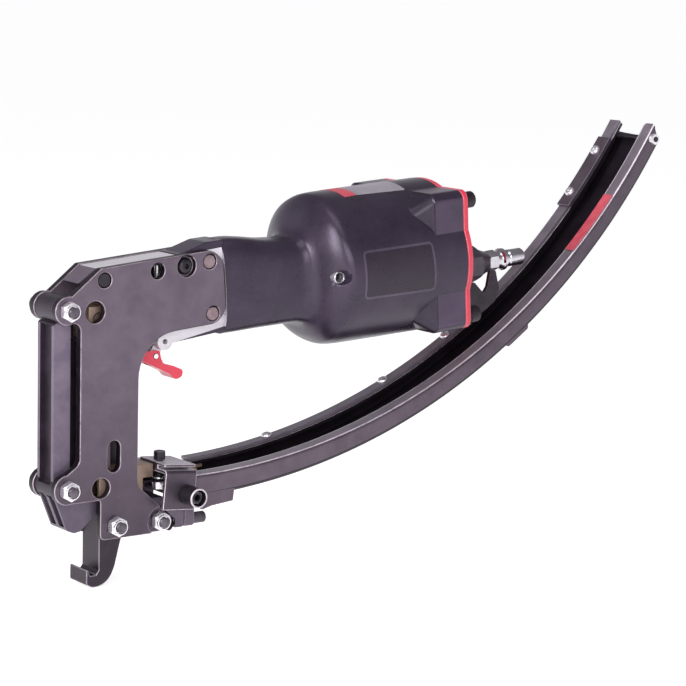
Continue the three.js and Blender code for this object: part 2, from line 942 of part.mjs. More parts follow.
/** A locking nut on the near side: a hexagon with a round collar. */
function lockNut([x, z], seat) {
  const top = seat - CLEAR;
  const hexEnd = top - bolt.nutHex;
  return cut(
    join(
      barY([x, z], hexRadius(bolt.nutAcross), hexEnd, top, HEX_SIDES),
      barY([x, z], bolt.collarRadius, hexEnd - bolt.collarHeight, top - CLEAR),
    ),
    barY([x, z], bolt.radius + CLEAR, hexEnd - bolt.collarHeight - OVERRUN, top + OVERRUN, SMALL_SIDES),
  );
}

/** A button head screw sunk in the arm's side. */
function buttonScrew(side) {
  const seat = plateOuter - button.recess + CLEAR;
  const top = seat + button.headHeight;
  const between = (a, b) => [side * a, side * b].sort((p, q) => p - q);
  return cut(
    join(
      barY(buttonPlace, button.headRadius, ...between(seat, top)),
      barY(buttonPlace, button.radius, ...between(plateInner - button.reach, seat + OVERRUN), SMALL_SIDES),
    ),
    barY(buttonPlace, button.socket, ...between(seat + button.headHeight / 2, top + OVERRUN), HEX_SIDES),
  );
}

const coverHalf = plateInner - cover.sideGap;

/** What a frame bolt's hole takes out of a piece of this half width. */
function boltHole(place, half) {
  return barY(place, bolt.radius + CLEAR, -half - OVERRUN, half + OVERRUN, SMALL_SIDES);
}

function frontCover() {
  const { frontX, chinRadius, edgeRadius } = cover;
  const shell = slabY(outline([
    [frontX, cover.topZ, edgeRadius],
    [frontX, cover.chinTopZ, chinRadius],
    [cover.chinX, cover.chinZ, chinRadius],
    [cover.chinBottomX, cover.chinBottomZ, chinRadius],
    [cover.noseX, cover.noseZ, 0],
    [cover.mouthX, cover.mouthZ, 0],
    [cover.mouthX, cover.chinRearZ, edgeRadius],
    [cover.sideRearX, cover.chinRearZ, chinRadius],
    [cover.sideRearX, cover.topZ, edgeRadius],
  ]), -coverHalf, coverHalf);
  const rib = slabY(outline([
    [cover.sideRearX - OVERRUN, cover.chinTopZ, 0],
    [cover.ribLowX, cover.chinTopZ, 0],
    [cover.ribLowX, cover.ribStepZ, 0],
    [cover.ribHighX, cover.ribStepZ, 0],
    [cover.ribHighX, cover.ribTopZ, 0],
    [cover.sideRearX - OVERRUN, cover.ribTopZ, 0],
  ]), -cover.ribHalf, cover.ribHalf);
  return cut(
    join(
      shell,
      rib,
      barY(upperEar, cover.bossRadius, -coverHalf, coverHalf),
      barY(lowerEar, cover.bossRadius, -coverHalf, coverHalf),
    ),
    ...coverRecesses(),
    bladeChannel(),
    boltHole(upperEar, coverHalf),
    boltHole(lowerEar, coverHalf),
  );
}

/** The groove down the cover's front, and the two pockets in its chin. */
function coverRecesses() {
  const { frontX, grooveHalf, pocketInset, pocketDepth } = cover;
  const grooveFloor = frontX + cover.grooveDepth;
  const { grooveLowZ, grooveHighZ } = cover;
  const groove = box(frontX - OVERRUN, grooveFloor, -grooveHalf, grooveHalf, grooveLowZ, grooveHighZ);
  const pocket = slabY(outline([
    [frontX - OVERRUN, cover.chinTopZ - pocketInset, 0],
    [frontX + pocketDepth, cover.chinTopZ - pocketInset, 0],
    [cover.chinX + pocketDepth, cover.chinZ + pocketInset, 0],
    [cover.chinX - pocketDepth, cover.chinZ + pocketInset, 0],
  ]), cover.pocketRibHalf, coverHalf - pocketInset);
  return [groove, pocket, pocket.mirror([0, 1, 0])];
}

/** The space for the blade and the clip in front of the anvil. */
function bladeChannel() {
  const half = driver.halfWidth + CLEAR;
  const front = driver.lineX - driver.thickness / 2 - cover.bladePlay;
  return box(front, cover.mouthX + OVERRUN, -half, half, cover.noseZ - OVERRUN, cover.chinRearZ + OVERRUN);
}

const headHalfWidth = plateInner - driver.headGap;

function driverBody() {
  const { lineX, thickness, halfWidth, headHalf } = driver;
  const headLow = driverPinZ - driver.headLow + driverStray()[0];
  const headHigh = driverPinZ + driver.headHigh;
  const front = fulcrum[0] - headHalf;
  const rear = fulcrum[0] + headHalf;
  const forkHalf = toggle.middleHalf + CLEAR;
  const bladeFront = lineX - thickness / 2;
  const bladeRear = bladeFront + thickness;
  const blade = box(bladeFront, bladeRear, -halfWidth, halfWidth, driver.tipZ, headLow + OVERRUN);
  const head = box(front, rear, -headHalfWidth, headHalfWidth, headLow, headHigh);
  const forkLow = headLow + driver.forkFloor;
  const fork = box(front - OVERRUN, rear + OVERRUN, -forkHalf, forkHalf, forkLow, headHigh + OVERRUN);
  return cut(join(blade, head), fork, driverSlot());
}

/** How far the lower link's end strays from the driver over the stroke, up and down. */
function driverStray() {
  const height = (angle) => -2 * toggle.length * Math.cos(angle);
  const rest = height(toggle.restAngle);
  return limits((share) => height(toggle.restAngle - swing * share) - rest + stroke * share);
}

/** The upright slot in the driver's fork that the lower link's pin runs in. */
function driverSlot() {
  const reach = toggle.driverPinRadius + toggle.slotPlay;
  const [down, up] = driverStray();
  return uprightSlot(
    fulcrum[0],
    driverPinZ + (up + down) / 2,
    2 * reach,
    2 * reach + up - down,
    -headHalfWidth - OVERRUN,
    headHalfWidth + OVERRUN,
  );
}

/** A flat bar with a round eye at each end, between two Y values. */
function linkBar(from, to, low, high, radius = toggle.eyeRadius) {
  const start = new THREE.Vector2(...from);
  const run = new THREE.Vector2(...to).sub(start);
  const across = new THREE.Vector2(-run.y, run.x).normalize().multiplyScalar(toggle.barHalf);
  const corners = [
    start.clone().add(across),
    start.clone().add(run).add(across),
    start.clone().add(run).sub(across),
    start.clone().sub(across),
  ];
  const flat = slabY(new THREE.Shape(corners), low, high);
  return join(flat, barY(from, radius, low, high), barY(to, radius, low, high));
}

/** A pair of bars, the same distance each side of the middle plane. */
function linkPair(from, to, low, high) {
  const bar = linkBar(from, to, low, high);
  return [bar, bar.mirror([0, 1, 0])];
}

const through = (place, radius) => barY(place, radius, -plateInner, plateInner, SMALL_SIDES);

function upperLink() {
  const [near, far] = linkPair(fulcrum, knee, outerLow, outerHigh);
  const hub = barY(fulcrum, toggle.eyeRadius, -outerHigh, outerHigh);
  const reach = outerHigh + toggle.pinOver;
  const pin = barY(knee, toggle.kneePinRadius, -reach, reach, SMALL_SIDES);
  return join(cut(join(near, far, hub), through(fulcrum, arm.dowelRadius + CLEAR)), pin);
}

function lowerLink() {
  const end = [fulcrum[0], driverPinZ];
  const bar = linkBar(knee, end, -toggle.middleHalf, toggle.middleHalf);
  const pin = barY(end, toggle.driverPinRadius, -headHalfWidth, headHalfWidth, SMALL_SIDES);
  return join(cut(bar, through(knee, toggle.kneePinRadius + CLEAR)), pin);
}

function pushLink() {
  const [near, far] = linkPair(knee, pushEnd, innerLow, innerHigh);
  const hub = barY(pushEnd, toggle.eyeRadius, -innerHigh, innerHigh);
  const pin = barY(pushEnd, toggle.pushPinRadius, -outerHigh, outerHigh, SMALL_SIDES);
  return join(cut(join(near, far, hub), through(knee, toggle.kneePinRadius + CLEAR)), pin);
}

function topBlockBody() {
  const top = armAt(arm.frontAlong, arm.top - topBlock.lipInset);
  const slope = Math.tan(arm.rise);
  const topRear = top[1] + (topBlock.rearX - top[0]) * slope;
  const under = arm.top - topBlock.underside;
  const block = slabY(outline([
    [topBlock.lipX, topBlock.lipZ, 0],
    [top[0], top[1], plate.topCornerRadius],
    [topBlock.rearX, topRear, 0],
    [topBlock.rearX, topRear - under, 0],
    [top[0] + topBlock.lipRun, top[1] - under + topBlock.lipRun * slope, 0],
    [topBlock.lipX + topBlock.lipRun, topBlock.lipZ - topBlock.lipInset, 0],
  ]), -fillHalf, fillHalf);
  const stopPlace = [stopHole[0] + stopPin.pastHole, stopPin.y];
  const stopLow = knee[1] + toggle.eyeRadius + stopPin.overKnee;
  const stop = barZ(stopPlace, stopPin.radius, stopLow, topRear - under / 2, SMALL_SIDES);
  return cut(
    join(block, stop),
    hubPocket(),
    barY(fulcrum, arm.dowelRadius + CLEAR, -fillHalf - OVERRUN, fillHalf + OVERRUN),
  );
}

/** The pocket under the top block for the link's hub and the start of its bars. */
function hubPocket() {
  const half = outerHigh + topBlock.hubPlay;
  const radius = toggle.eyeRadius + topBlock.hubPlay;
  const along = new THREE.Vector2(Math.sin(toggle.restAngle), -Math.cos(toggle.restAngle));
  const up = new THREE.Vector2(-along.y, along.x).multiplyScalar(radius);
  const start = new THREE.Vector2(...fulcrum);
  const end = start.clone().addScaledVector(along, topBlock.pocketLength);
  const corners = [start.clone().add(up), end.clone().add(up), end.clone().sub(up), start.clone().sub(up)];
  return join(slabY(new THREE.Shape(corners), -half, half), barY(fulcrum, radius, -half, half));
}

function guideBody() {
  return box(guideFront, guideFront + guide.depth, -fillHalf, fillHalf, guide.lowZ, guide.highZ);
}

/** The clip track: two side walls, a floor behind the anvil and a roof, open to the front and rear. */
function insertBody() {
  const inner = fillHalf - insert.wall;
  const lowZ = anvil.topZ + insert.overAnvil;
  const shell = slabY(outline([
    [guideFront, lowZ, 0],
    [insert.neckX, lowZ, 0],
    [insert.neckX, insert.neckZ, 0],
    [insert.rearX, insert.neckZ, 0],
    [insert.rearX, insert.crestZ, 0],
    [insert.crestX, insert.crestZ, 0],
    [insert.crestX, insert.highZ, 0],
    [guideFront, insert.highZ, 0],
  ]), -fillHalf, fillHalf);
  const lane = box(guideFront - OVERRUN, insert.rearX + OVERRUN, -inner, inner, insert.floorZ, insert.roofZ);
  return cut(shell, lane);
}

function anvilBody() {
  const a = anvil;
  const body = slabY(outline([
    [a.shankX, a.topZ, 0],
    [a.shankX, a.shankFootZ, 0],
    [a.seatRearX, 0, 0],
    [a.seatFrontX, 0, 0],
    [a.tipX + a.tipFlat, a.tipTopZ, 0],
    [a.tipX, a.tipTopZ, 0],
    [a.tipX, a.tipBottomZ, a.tipRadius],
    [a.tipRunX, a.bottomZ, a.tipRunRadius],
    [a.bottomX, a.bottomZ, a.bottomRadius],
    [a.heelX, a.heelZ, a.heelRadius],
    [a.rearX, a.rearZ, 0],
    [a.rearTopX, a.rearTopZ, 0],
    [a.rearTopX, a.topZ, 0],
  ]), -fillHalf, fillHalf);
  return cut(body, boltHole(anvilBolt, fillHalf));
}

/** X of the plates' rear flank at a height, for what lies against it. */
function flankX(z) {
  const slope = (plate.footRearX - plate.columnRear) / (plate.flankTopZ - plate.footRearZ);
  return plate.columnRear + (plate.flankTopZ - z) * slope;
}

function rootBlock() {
  const r = root;
  const tongue = slabY(outline([
    [r.tongueFrontX, r.bodyLowZ, 0],
    [r.bodyRearX - OVERRUN, r.bodyLowZ, 0],
    [r.bodyRearX - OVERRUN, r.bodyTopZ, 0],
    [r.postFrontX, r.tongueTopZ, 0],
    [r.tongueFrontX, r.tongueTopZ, 0],
  ]), -fillHalf, fillHalf);
  const body = slabY(outline([
    [flankX(r.bodyTopZ) + r.flankGap, r.bodyTopZ, 0],
    [r.bodyRearX, r.bodyTopZ, r.radius],
    [r.bodyRearX, r.bodyLowZ, r.radius],
    [plate.footRearX + r.flankGap, r.bodyLowZ, 0],
    [plate.footRearX + r.flankGap, plate.footRearZ, 0],
  ]), -r.bodyHalf, r.bodyHalf);
  return cut(
    join(tongue, body),
    boltHole(rootBolt, r.bodyHalf),
    barX(thumbPlace, thumb.shankRadius + CLEAR, thumbX - thumb.reach - OVERRUN, thumbX, SMALL_SIDES),
  );
}

const rootCapX = root.bodyRearX + root.capGap;
const rootRearX = rootCapX + root.capThickness;
const thumbX = rootRearX + CLEAR;
const thumbPlace = [thumb.y, root.bodyLowZ + thumb.radius];

function rootCap() {
  const r = root;
  return cut(
    slabY(outline([
      [rootCapX, r.bodyTopZ, 0],
      [rootRearX, r.bodyTopZ, r.radius],
      [rootRearX, r.bodyLowZ, r.radius],
      [rootCapX, r.bodyLowZ, 0],
    ]), -r.bodyHalf, r.bodyHalf),
    barX(thumbPlace, thumb.shankRadius + CLEAR, rootCapX - OVERRUN, rootRearX + OVERRUN, SMALL_SIDES),
  );
}

/** The knurled clamp screw of the root cap. */
function thumbScrew() {
  const points = Array.from({ length: 2 * thumb.ribs }, (_, i) => {
    const radius = thumb.radius - (i % 2) * thumb.ribDepth;
    const angle = (Math.PI * i) / thumb.ribs;
    const [y, z] = thumbPlace;
    return new THREE.Vector2(y + radius * Math.cos(angle), z + radius * Math.sin(angle));
  });
  return join(
    slabX(new THREE.Shape(points), thumbX, thumbX + thumb.length),
    barX(thumbPlace, thumb.shankRadius, thumbX - thumb.reach, thumbX + OVERRUN, SMALL_SIDES),
  );
}

const bracketInner = magazine.halfWidth + CLEAR;
const bracketOuter = bracketInner + bracket.thickness;

/** The bent bracket: a leaf each side of the magazine, and a cover plate packed up over its near half. */
function bracketBody() {
  const b = bracket;
  const faceLowZ = faceTopZ - b.faceHeight;
  const ceiling = faceTopZ - b.thickness;
  const plateLowZ = plateTopZ - b.plateThickness;
  const plateNearY = -bracketOuter + b.plateInset;
  const profile = outline([
    [-bracketOuter, faceLowZ, 0],
    [-bracketInner, faceLowZ, 0],
    [-bracketInner, ceiling, 0],
    [bracketInner, ceiling, 0],
    [bracketInner, faceLowZ, 0],
    [bracketOuter, faceLowZ, 0],
    [bracketOuter, faceTopZ, b.bendRadius],
    [b.plateFarY, faceTopZ, 0],
    [b.plateFarY, plateTopZ, 0],
    [plateNearY, plateTopZ, 0],
    [plateNearY, plateLowZ, 0],
    [plateNearY + b.packInset, plateLowZ, 0],
    [plateNearY + b.packInset, faceTopZ, 0],
    [-bracketOuter, faceTopZ, b.bendRadius],
  ]);
  const pivotX = (b.faceFrontX + b.faceRearX) / 2;
  const pitched = slabX(profile, b.faceFrontX, b.faceRearX)
    .translate([-pivotX, 0, -faceTopZ])
    .rotate([0, b.pitch / DEG, 0])
    .translate([pivotX, 0, faceTopZ]);
  const springRoom = leaf.springRadius + leaf.springWire + CLEAR;
  return cut(
    pitched,
    barZ(leafPlace, leaf.screwRadius + CLEAR, ceiling - OVERRUN, plateTopZ + 2 * OVERRUN, SMALL_SIDES),
    barZ(leafPlace, springRoom, faceLowZ, springPocketZ),
  );
}

/** The knob sleeve on the bracket's near side, with a socket screw deep in its bore. */
function sleeveBody() {
  const s = sleeve;
  const seat = -bracketOuter - CLEAR;
  const end = seat - s.length;
  const place = [s.x, s.z];
  return cut(
    barY(place, s.radius, end, seat),
    barY(place, s.boreRadius, end - OVERRUN, end + s.boreDepth),
    barY(place, s.socketRadius, end, end + s.boreDepth + s.socketDepth, HEX_SIDES),
  );
}

const leafPlace = [leaf.screwX, leaf.screwY];
const springPocketZ = plateTopZ - leaf.pocketDrop;
const leafSlope = (bracket.faceFrontX + bracket.faceRearX) / 2 - leaf.screwX + leaf.headRadius;
const leafSeatZ = plateTopZ + leafSlope * Math.sin(bracket.pitch) + CLEAR;
const upperWasherZ = leaf.leafTopZ + CLEAR;

function leafPlate() {
  const l = leaf;
  return cut(
    box(l.leafFrontX, l.leafRearX, -l.leafHalf, l.leafHalf, l.leafTopZ - l.leafThickness, l.leafTopZ),
    barZ(leafPlace, l.screwRadius + CLEAR, l.tipZ, l.leafTopZ + OVERRUN, SMALL_SIDES),
  );
}

function leafScrew() {
  const l = leaf;
  const top = leafSeatZ + l.headHeight;
  const shank = barZ(leafPlace, l.screwRadius, l.tipZ, leafSeatZ + OVERRUN, SMALL_SIDES);
  return cut(
    join(shank, barZ(leafPlace, l.headRadius, leafSeatZ, top)),
    barZ(leafPlace, l.socketRadius, top - l.socketDepth, top + OVERRUN, HEX_SIDES),
  );
}

/** A washer round the leaf screw, from a height up. */
function leafWasher(low) {
  const high = low + leaf.washerHeight;
  return cut(
    barZ(leafPlace, leaf.washerRadius, low, high),
    barZ(leafPlace, leaf.screwRadius + CLEAR, low - OVERRUN, high + OVERRUN, SMALL_SIDES),
  );
}

/** The flange nut under the leaf. */
function leafNut() {
  const l = leaf;
  const top = l.leafTopZ - l.leafThickness - CLEAR;
  const low = top - l.washerHeight - l.nutHeight;
  return cut(
    join(
      barZ(leafPlace, hexRadius(l.nutAcross), low, top - CLEAR, HEX_SIDES),
      barZ(leafPlace, l.washerRadius, top - l.washerHeight, top),
    ),
    barZ(leafPlace, l.screwRadius + CLEAR, low - OVERRUN, top + OVERRUN, SMALL_SIDES),
  );
}

/** The open coil spring between the washer and the bracket, as one helical tube. */
function leafSpring() {
  const { screwX, screwY, springRadius, springWire, springTurns } = leaf;
  const low = upperWasherZ + leaf.washerHeight + CLEAR + springWire;
  const high = springPocketZ - CLEAR - springWire;
  const count = SPRING_STEPS * springTurns;
  const points = Array.from({ length: count + 1 }, (_, i) => {
    const angle = (2 * Math.PI * i) / SPRING_STEPS;
    const z = low + ((high - low) * i) / count;
    const [across, aside] = [springRadius * Math.cos(angle), springRadius * Math.sin(angle)];
    return new THREE.Vector3(screwX + across, screwY + aside, z);
  });
  console.log(`leaf spring, least gap between its turns: ${leastGap(points, springWire).toFixed(2)} mm`);
  return solid(tubeThrough(points, springWire, SPRING_SIDES));
}

/** Least gap of a coiled wire to itself, measured between points at least half a turn apart. */
function leastGap(points, radius) {
  const gapFrom = (point, i) => points.slice(i + SPRING_STEPS / 2).map((other) => point.distanceTo(other));
  return Math.min(...points.flatMap(gapFrom)) - 2 * radius;
}

/** A closed tube of a few sides through points, with flat ends. */
function tubeThrough(points, radius, sides) {
  const rings = points.map((point, i) => {
    const next = points[Math.min(i + 1, points.length - 1)];
    const ahead = next.clone().sub(points[Math.max(i - 1, 0)]).normalize();
    const out = new THREE.Vector3(0, 0, 1).cross(ahead).normalize();
    const up = ahead.clone().cross(out);
    return Array.from({ length: sides }, (_, k) => {
      const angle = (2 * Math.PI * k) / sides;
      const across = out.clone().multiplyScalar(radius * Math.cos(angle));
      return point.clone().add(across).addScaledVector(up, radius * Math.sin(angle));
    });
  });
  return loftRings(rings);
}

/** A closed geometry through rings of the same number of points, with a fan at each end. */
function loftRings(rings) {
  const count = rings[0].length;
  const positions = rings.flat().flatMap((p) => [p.x, p.y, p.z]);
  const index = [];
  for (let i = 0; i + 1 < rings.length; i += 1) {
    for (let k = 0; k < count; k += 1) {
      const a = i * count + k;
      const b = i * count + ((k + 1) % count);
      index.push(a, b, b + count, a, b + count, a + count);
    }
  }
  const last = (rings.length - 1) * count;
  for (let k = 1; k + 1 < count; k += 1) index.push(0, k + 1, k, last, last + k, last + k + 1);
  const geometry = new THREE.BufferGeometry();
  geometry.setAttribute("position", new THREE.Float32BufferAttribute(positions, 3));
  geometry.setIndex(index);
  return geometry;
}

/** The magazine channel: a floor, two webs, two inward flanges that run a little further, and its lugs. */
function channelBody() {
  const m = magazine;
  const half = m.halfWidth;
  const start = m.startAngle - m.cutBeyond;
  const outer = (angle) => m.flangeRadius + channelDepth(angle);
  const flangeTop = () => m.flangeRadius;
  const flangeUnder = () => m.flangeRadius + m.sheet;
  const floorTop = (angle) => outer(angle) - m.sheet;
  const bumpTop = (angle) => outer(angle) - m.sheet / 2;
  const bumpUnder = (angle) => outer(angle) + m.bumpLift;
  const full = arcSlab(m.startAngle, m.webEndAngle, flangeTop, outer, -half, half);
  const lips = arcSlab(m.webEndAngle - m.lipLap, m.endAngle, flangeTop, flangeUnder, -half, half);
  const bump = arcSlab(m.bumpStart, m.bumpEnd, bumpTop, bumpUnder, -half, half);
  const inner = half - m.sheet;
  const hollow = arcSlab(start, m.webEndAngle + m.cutBeyond, flangeUnder, floorTop, -inner, inner);
  const above = () => m.flangeRadius - OVERRUN;
  const below = () => m.flangeRadius + m.sheet + OVERRUN;
  const mouth = arcSlab(start, m.endAngle + m.cutBeyond, above, below, -m.openHalf, m.openHalf);
  const hole = barY(endBoltPlace(), endBolt.radius + CLEAR, -half - OVERRUN, half + OVERRUN, SMALL_SIDES);
  const whole = join(full, lips, bump, rootTabBody(-1), rootTabBody(1));
  return cut(whole, hollow, mouth, hole, ...stripScrewHoles());
}

function endBoltPlace() {
  const { angle, depthShare } = endBolt;
  return arcAt(angle, magazine.flangeRadius + channelDepth(angle) * depthShare);
}

/** A round bar along the magazine's radius at an angle and a Y, from one radius to another. */
function barRadial(angle, y, radius, inner, outer, sides = SMALL_SIDES) {
  const geometry = new THREE.CylinderGeometry(radius, radius, outer - inner, sides);
  geometry.rotateX(-Math.PI / 2);
  geometry.translate(0, 0, -(inner + outer) / 2);
  geometry.rotateY(-angle);
  geometry.translate(centreX, y, centreZ);
  return solid(geometry);
}

const screwAngles = [...stripScrew.angles, ...holdDown.angles];

function stripScrewHoles() {
  const inner = magazine.flangeRadius - OVERRUN;
  const outer = magazine.flangeRadius + stripScrew.reach + OVERRUN;
  return screwAngles.map((angle) => barRadial(angle, stripY, stripScrew.shankRadius + CLEAR, inner, outer));
}

/** The strip along the far flange that keeps the clips in line. */
function stripBody() {
  const outer = magazine.flangeRadius - CLEAR;
  const inner = outer - farStrip.lift;
  const body = arcSlab(farStrip.start, farStrip.end, () => inner, () => outer, stripLowY, stripHighY);
  const radius = stripScrew.shankRadius + CLEAR;
  const hole = (angle) => barRadial(angle, stripY, radius, inner - OVERRUN, outer + OVERRUN);
  return cut(body, ...screwAngles.map(hole));
}

const stripTop = magazine.flangeRadius - CLEAR - farStrip.lift;

/** The plate that holds the clips down near the magazine's end, with its two screws. */
function holdDownPlate() {
  const { start, end, thickness } = holdDown;
  const under = stripTop - CLEAR;
  const top = under - thickness;
  const lowY = magazine.openHalf - holdDown.mouthLip;
  const highY = magazine.halfWidth - holdDown.outerEdge;
  const body = arcSlab(start, end, () => top, () => under, lowY, highY);
  const screw = (angle) => trackScrew(angle, top - stripScrew.height, top + OVERRUN);
  return join(body, ...holdDown.angles.map(screw));
}

/** A low round screw in the far strip, with its head between two radii. */
function trackScrew(angle, crown, foot) {
  const head = barRadial(angle, stripY, stripScrew.radius, crown, foot);
  const end = magazine.flangeRadius + stripScrew.reach;
  return join(head, barRadial(angle, stripY, stripScrew.shankRadius, foot - OVERRUN, end));
}

function endBoltBody() {
  const reach = magazine.halfWidth + CLEAR;
  const place = endBoltPlace();
  return join(
    barY(place, endBolt.radius, -reach - endBolt.nutHeight - endBolt.pastNut, reach + OVERRUN, SMALL_SIDES),
    barY(place, endBolt.headRadius, reach, reach + endBolt.headHeight, SMALL_SIDES),
  );
}

function endNut() {
  const reach = magazine.halfWidth + CLEAR;
  const place = endBoltPlace();
  const end = -reach - endBolt.nutHeight;
  return cut(
    barY(place, hexRadius(endBolt.nutAcross), end, -reach, HEX_SIDES),
    barY(place, endBolt.radius + CLEAR, end - OVERRUN, -reach + OVERRUN, SMALL_SIDES),
  );
}

function tagBody() {
  const outer = magazine.flangeRadius - CLEAR;
  const inner = outer - tag.thickness;
  const lowY = -magazine.halfWidth + tag.inset;
  const highY = -magazine.openHalf - tag.inset / 2;
  return arcSlab(tag.start, tag.end, () => inner, () => outer, lowY, highY);
}

/** The shaped lug under the front of the magazine, one on each side; it runs up into the web. */
function rootTabBody(side) {
  const t = rootTab;
  const shape = outline([
    [t.frontX, t.frontZ, 0],
    [t.midX, t.midZ, t.midRadius],
    [t.rearX, t.rearZ, t.rearRadius],
    [t.topX, magazine.railZ - t.underRail, 0],
    [t.frontX, magazine.railZ - t.underRail, 0],
  ]);
  const outer = side * magazine.halfWidth;
  const inner = outer - side * t.thickness;
  return slabY(shape, Math.min(inner, outer), Math.max(inner, outer));
}

/** The pusher that follows the clips: a block in the channel's mouth with a wing under each flange. */
function pusherBody() {
  const { start, blockEnd, end } = pusher;
  const top = () => magazine.flangeRadius - pusher.crest;
  const foot = () => magazine.flangeRadius + pusher.depth;
  const wingTop = () => magazine.flangeRadius + magazine.sheet + CLEAR;
  const wingFoot = () => wingTop() + pusher.wingThickness;
  const above = () => wingTop() - OVERRUN;
  const below = () => wingFoot() + OVERRUN;
  const half = magazine.openHalf - pusher.mouthPlay;
  const wingHalf = magazine.halfWidth - magazine.sheet - pusher.wingPlay;
  const block = arcSlab(start, blockEnd, top, foot, -half, half);
  const wings = arcSlab(start, end, wingTop, wingFoot, -wingHalf, wingHalf);
  const between = arcSlab(blockEnd, end + magazine.lipLap, above, below, -half, half);
  return cut(join(block, wings), between);
}

/** One station of the housing as a ring of points, from a rounded rectangle to a circle. */
function housingRing([alongShare, halfShare, topShare, bottomShare], power) {
  const shoulder = housing.shoulderLength;
  const beyond = Math.max(alongShare - 1, 0) * (housingLength - shoulder);
  const along = shoulder * Math.min(alongShare, 1) + beyond;
  const half = housing.radius * halfShare;
  const middle = (housing.radius * (topShare - bottomShare)) / 2;
  const height = (housing.radius * (topShare + bottomShare)) / 2;
  return Array.from({ length: BARREL_SIDES }, (_, k) => {
    const angle = (2 * Math.PI * k) / BARREL_SIDES;
    const bend = (value) => Math.sign(value) * Math.abs(value) ** (2 / power);
    return new THREE.Vector3(along, half * bend(Math.cos(angle)), middle + height * bend(Math.sin(angle)));
  });
}

/** The outer form of the neck and barrel, swelling smoothly from one to the other. */
function housingForm() {
  const h = housing;
  const rings = h.formShares.map((station, i) => {
    const share = THREE.MathUtils.clamp((i - h.neckStations + 1) / (h.swellStations + 1), 0, 1);
    return housingRing(station, h.neckPower + (h.barrelPower - h.neckPower) * share);
  });
  return solid(loftRings(rings));
}

/** A rounded square round the barrel's axis, as a ring. */
function squareRing(along, half, radius) {
  const shape = outline([
    [-half, -half, radius],
    [half, -half, radius],
    [half, half, radius],
    [-half, half, radius],
  ]);
  const points = shape.getPoints().slice(0, 4 * (CORNER_STEPS + 1));
  return points.map((p) => new THREE.Vector3(along, p.x, p.y));
}

function flangePads() {
  const h = housing;
  const padFront = housingLength - h.padLength;
  const rings = [
    squareRing(padFront - h.padRampLength, padHalf - h.padRampDrop, h.padRadius),
    squareRing(padFront, padHalf, h.padRadius),
    squareRing(housingLength, padHalf, h.padRadius),
  ];
  return solid(loftRings(rings));
}

/** Height of the arm's top edge at an X. */
function armTopAt(x) {
  return armAt(0, arm.top)[1] + (x - arm.dowelX) * Math.tan(arm.rise);
}

/** The upper lug of the casting between the plates, on the barrel's axes. */
function upperLug() {
  const h = housing;
  const at = (x, z) => toBarrel([x, z]);
  const frontX = topBlock.rearX + h.lugGap;
  const topX = frontX + h.lugChamfer;
  const front = at(frontX, armTopAt(frontX));
  return slabY(outline([
    [...front, 0],
    [...at(topX, armTopAt(topX)), 0],
    [h.noseMiddleAlong, h.noseHump, h.padRadius],
    [lugRear, h.noseHump, 0],
    [lugRear, h.upperLugUnder, 0],
    [front[0], h.upperLugUnder, 0],
  ]), -fillHalf, fillHalf);
}

/** The lower lug of the casting, which runs forward to the trigger's ear. */
function lowerLug() {
  const h = housing;
  const at = (x, z) => toBarrel([x, z]);
  const body = slabY(outline([
    [lugRear, -h.lowerLugTop, 0],
    [at(h.lowerLugRampX, barrel.z)[0], -h.lowerLugTop, 0],
    [...at(h.lowerLugFrontX, h.lowerLugFrontZ), 0],
    [...at(h.lowerLugFrontX - OVERRUN, h.earZ), 0],
    [...at(h.earX, h.earZ - h.earRadius + OVERRUN), 0],
    [...at(h.earX + h.earRadius, h.lowerLugBottomZ - h.lowerLugBottomRise), 0],
    [...at(h.lowerLugBottomX, h.lowerLugBottomZ), 0],
    [lugRear, at(h.lowerLugBottomX, h.lowerLugBottomZ)[1], 0],
  ]), -fillHalf, fillHalf);
  return join(body, barY(at(h.earX, h.earZ), h.earRadius, -fillHalf, fillHalf));
}

/** The narrow ear that carries the trigger's pivot. */
function triggerLug() {
  const { lugRadius, lugHalf } = trigger;
  const { earX, earZ, earRadius } = housing;
  const [x, z] = triggerPivot;
  const neck = slabY(outline([
    [...toBarrel([x - lugRadius, z]), 0],
    [...toBarrel([x + lugRadius, z]), 0],
    [...toBarrel([earX + earRadius / 2, earZ]), 0],
    [...toBarrel([earX - earRadius / 2, earZ]), 0],
  ]), -lugHalf, lugHalf);
  return join(neck, barY(toBarrel(triggerPivot), lugRadius, -lugHalf, lugHalf));
}

/** What is bored out of the housing along its axis. */
function housingBores() {
  const h = housing;
  const screwEnd = housingLength - cap.reach - OVERRUN;
  const radius = cap.screwRadius + CLEAR;
  const screwHole = (place) => barX(place, radius, screwEnd, housingLength + OVERRUN, SMALL_SIDES);
  return [
    barX([0, 0], boreRadius, boreFront, housingLength + OVERRUN, BARREL_SIDES),
    barX([0, 0], h.rodBoreRadius, h.rodBoreFront, boreFront + OVERRUN),
    ...capScrewPlaces.map(screwHole),
  ];
}

function housingBody() {
  const h = housing;
  const reach = fillHalf + OVERRUN;
  const across = (place, radius) => barY(toBarrel(place), radius, -reach, reach);
  return cut(
    join(housingForm(), flangePads(), upperLug(), lowerLug(), triggerLug()),
    ...housingBores(),
    across(upperDowel, arm.dowelRadius + CLEAR),
    across(lowerDowel, arm.dowelRadius + CLEAR),
    across(buttonPlace, button.radius + CLEAR),
    across([h.earX, h.earZ], h.earHoleRadius),
    across(triggerPivot, trigger.pinRadius + CLEAR),
    stemBore(),
    barY([h.portAlong, h.portUp], h.portRadius, -h.radius, -h.radius + h.portDepth, SMALL_SIDES),
  );
}

const stemTopZ = housing.earZ + stem.aboveEar;

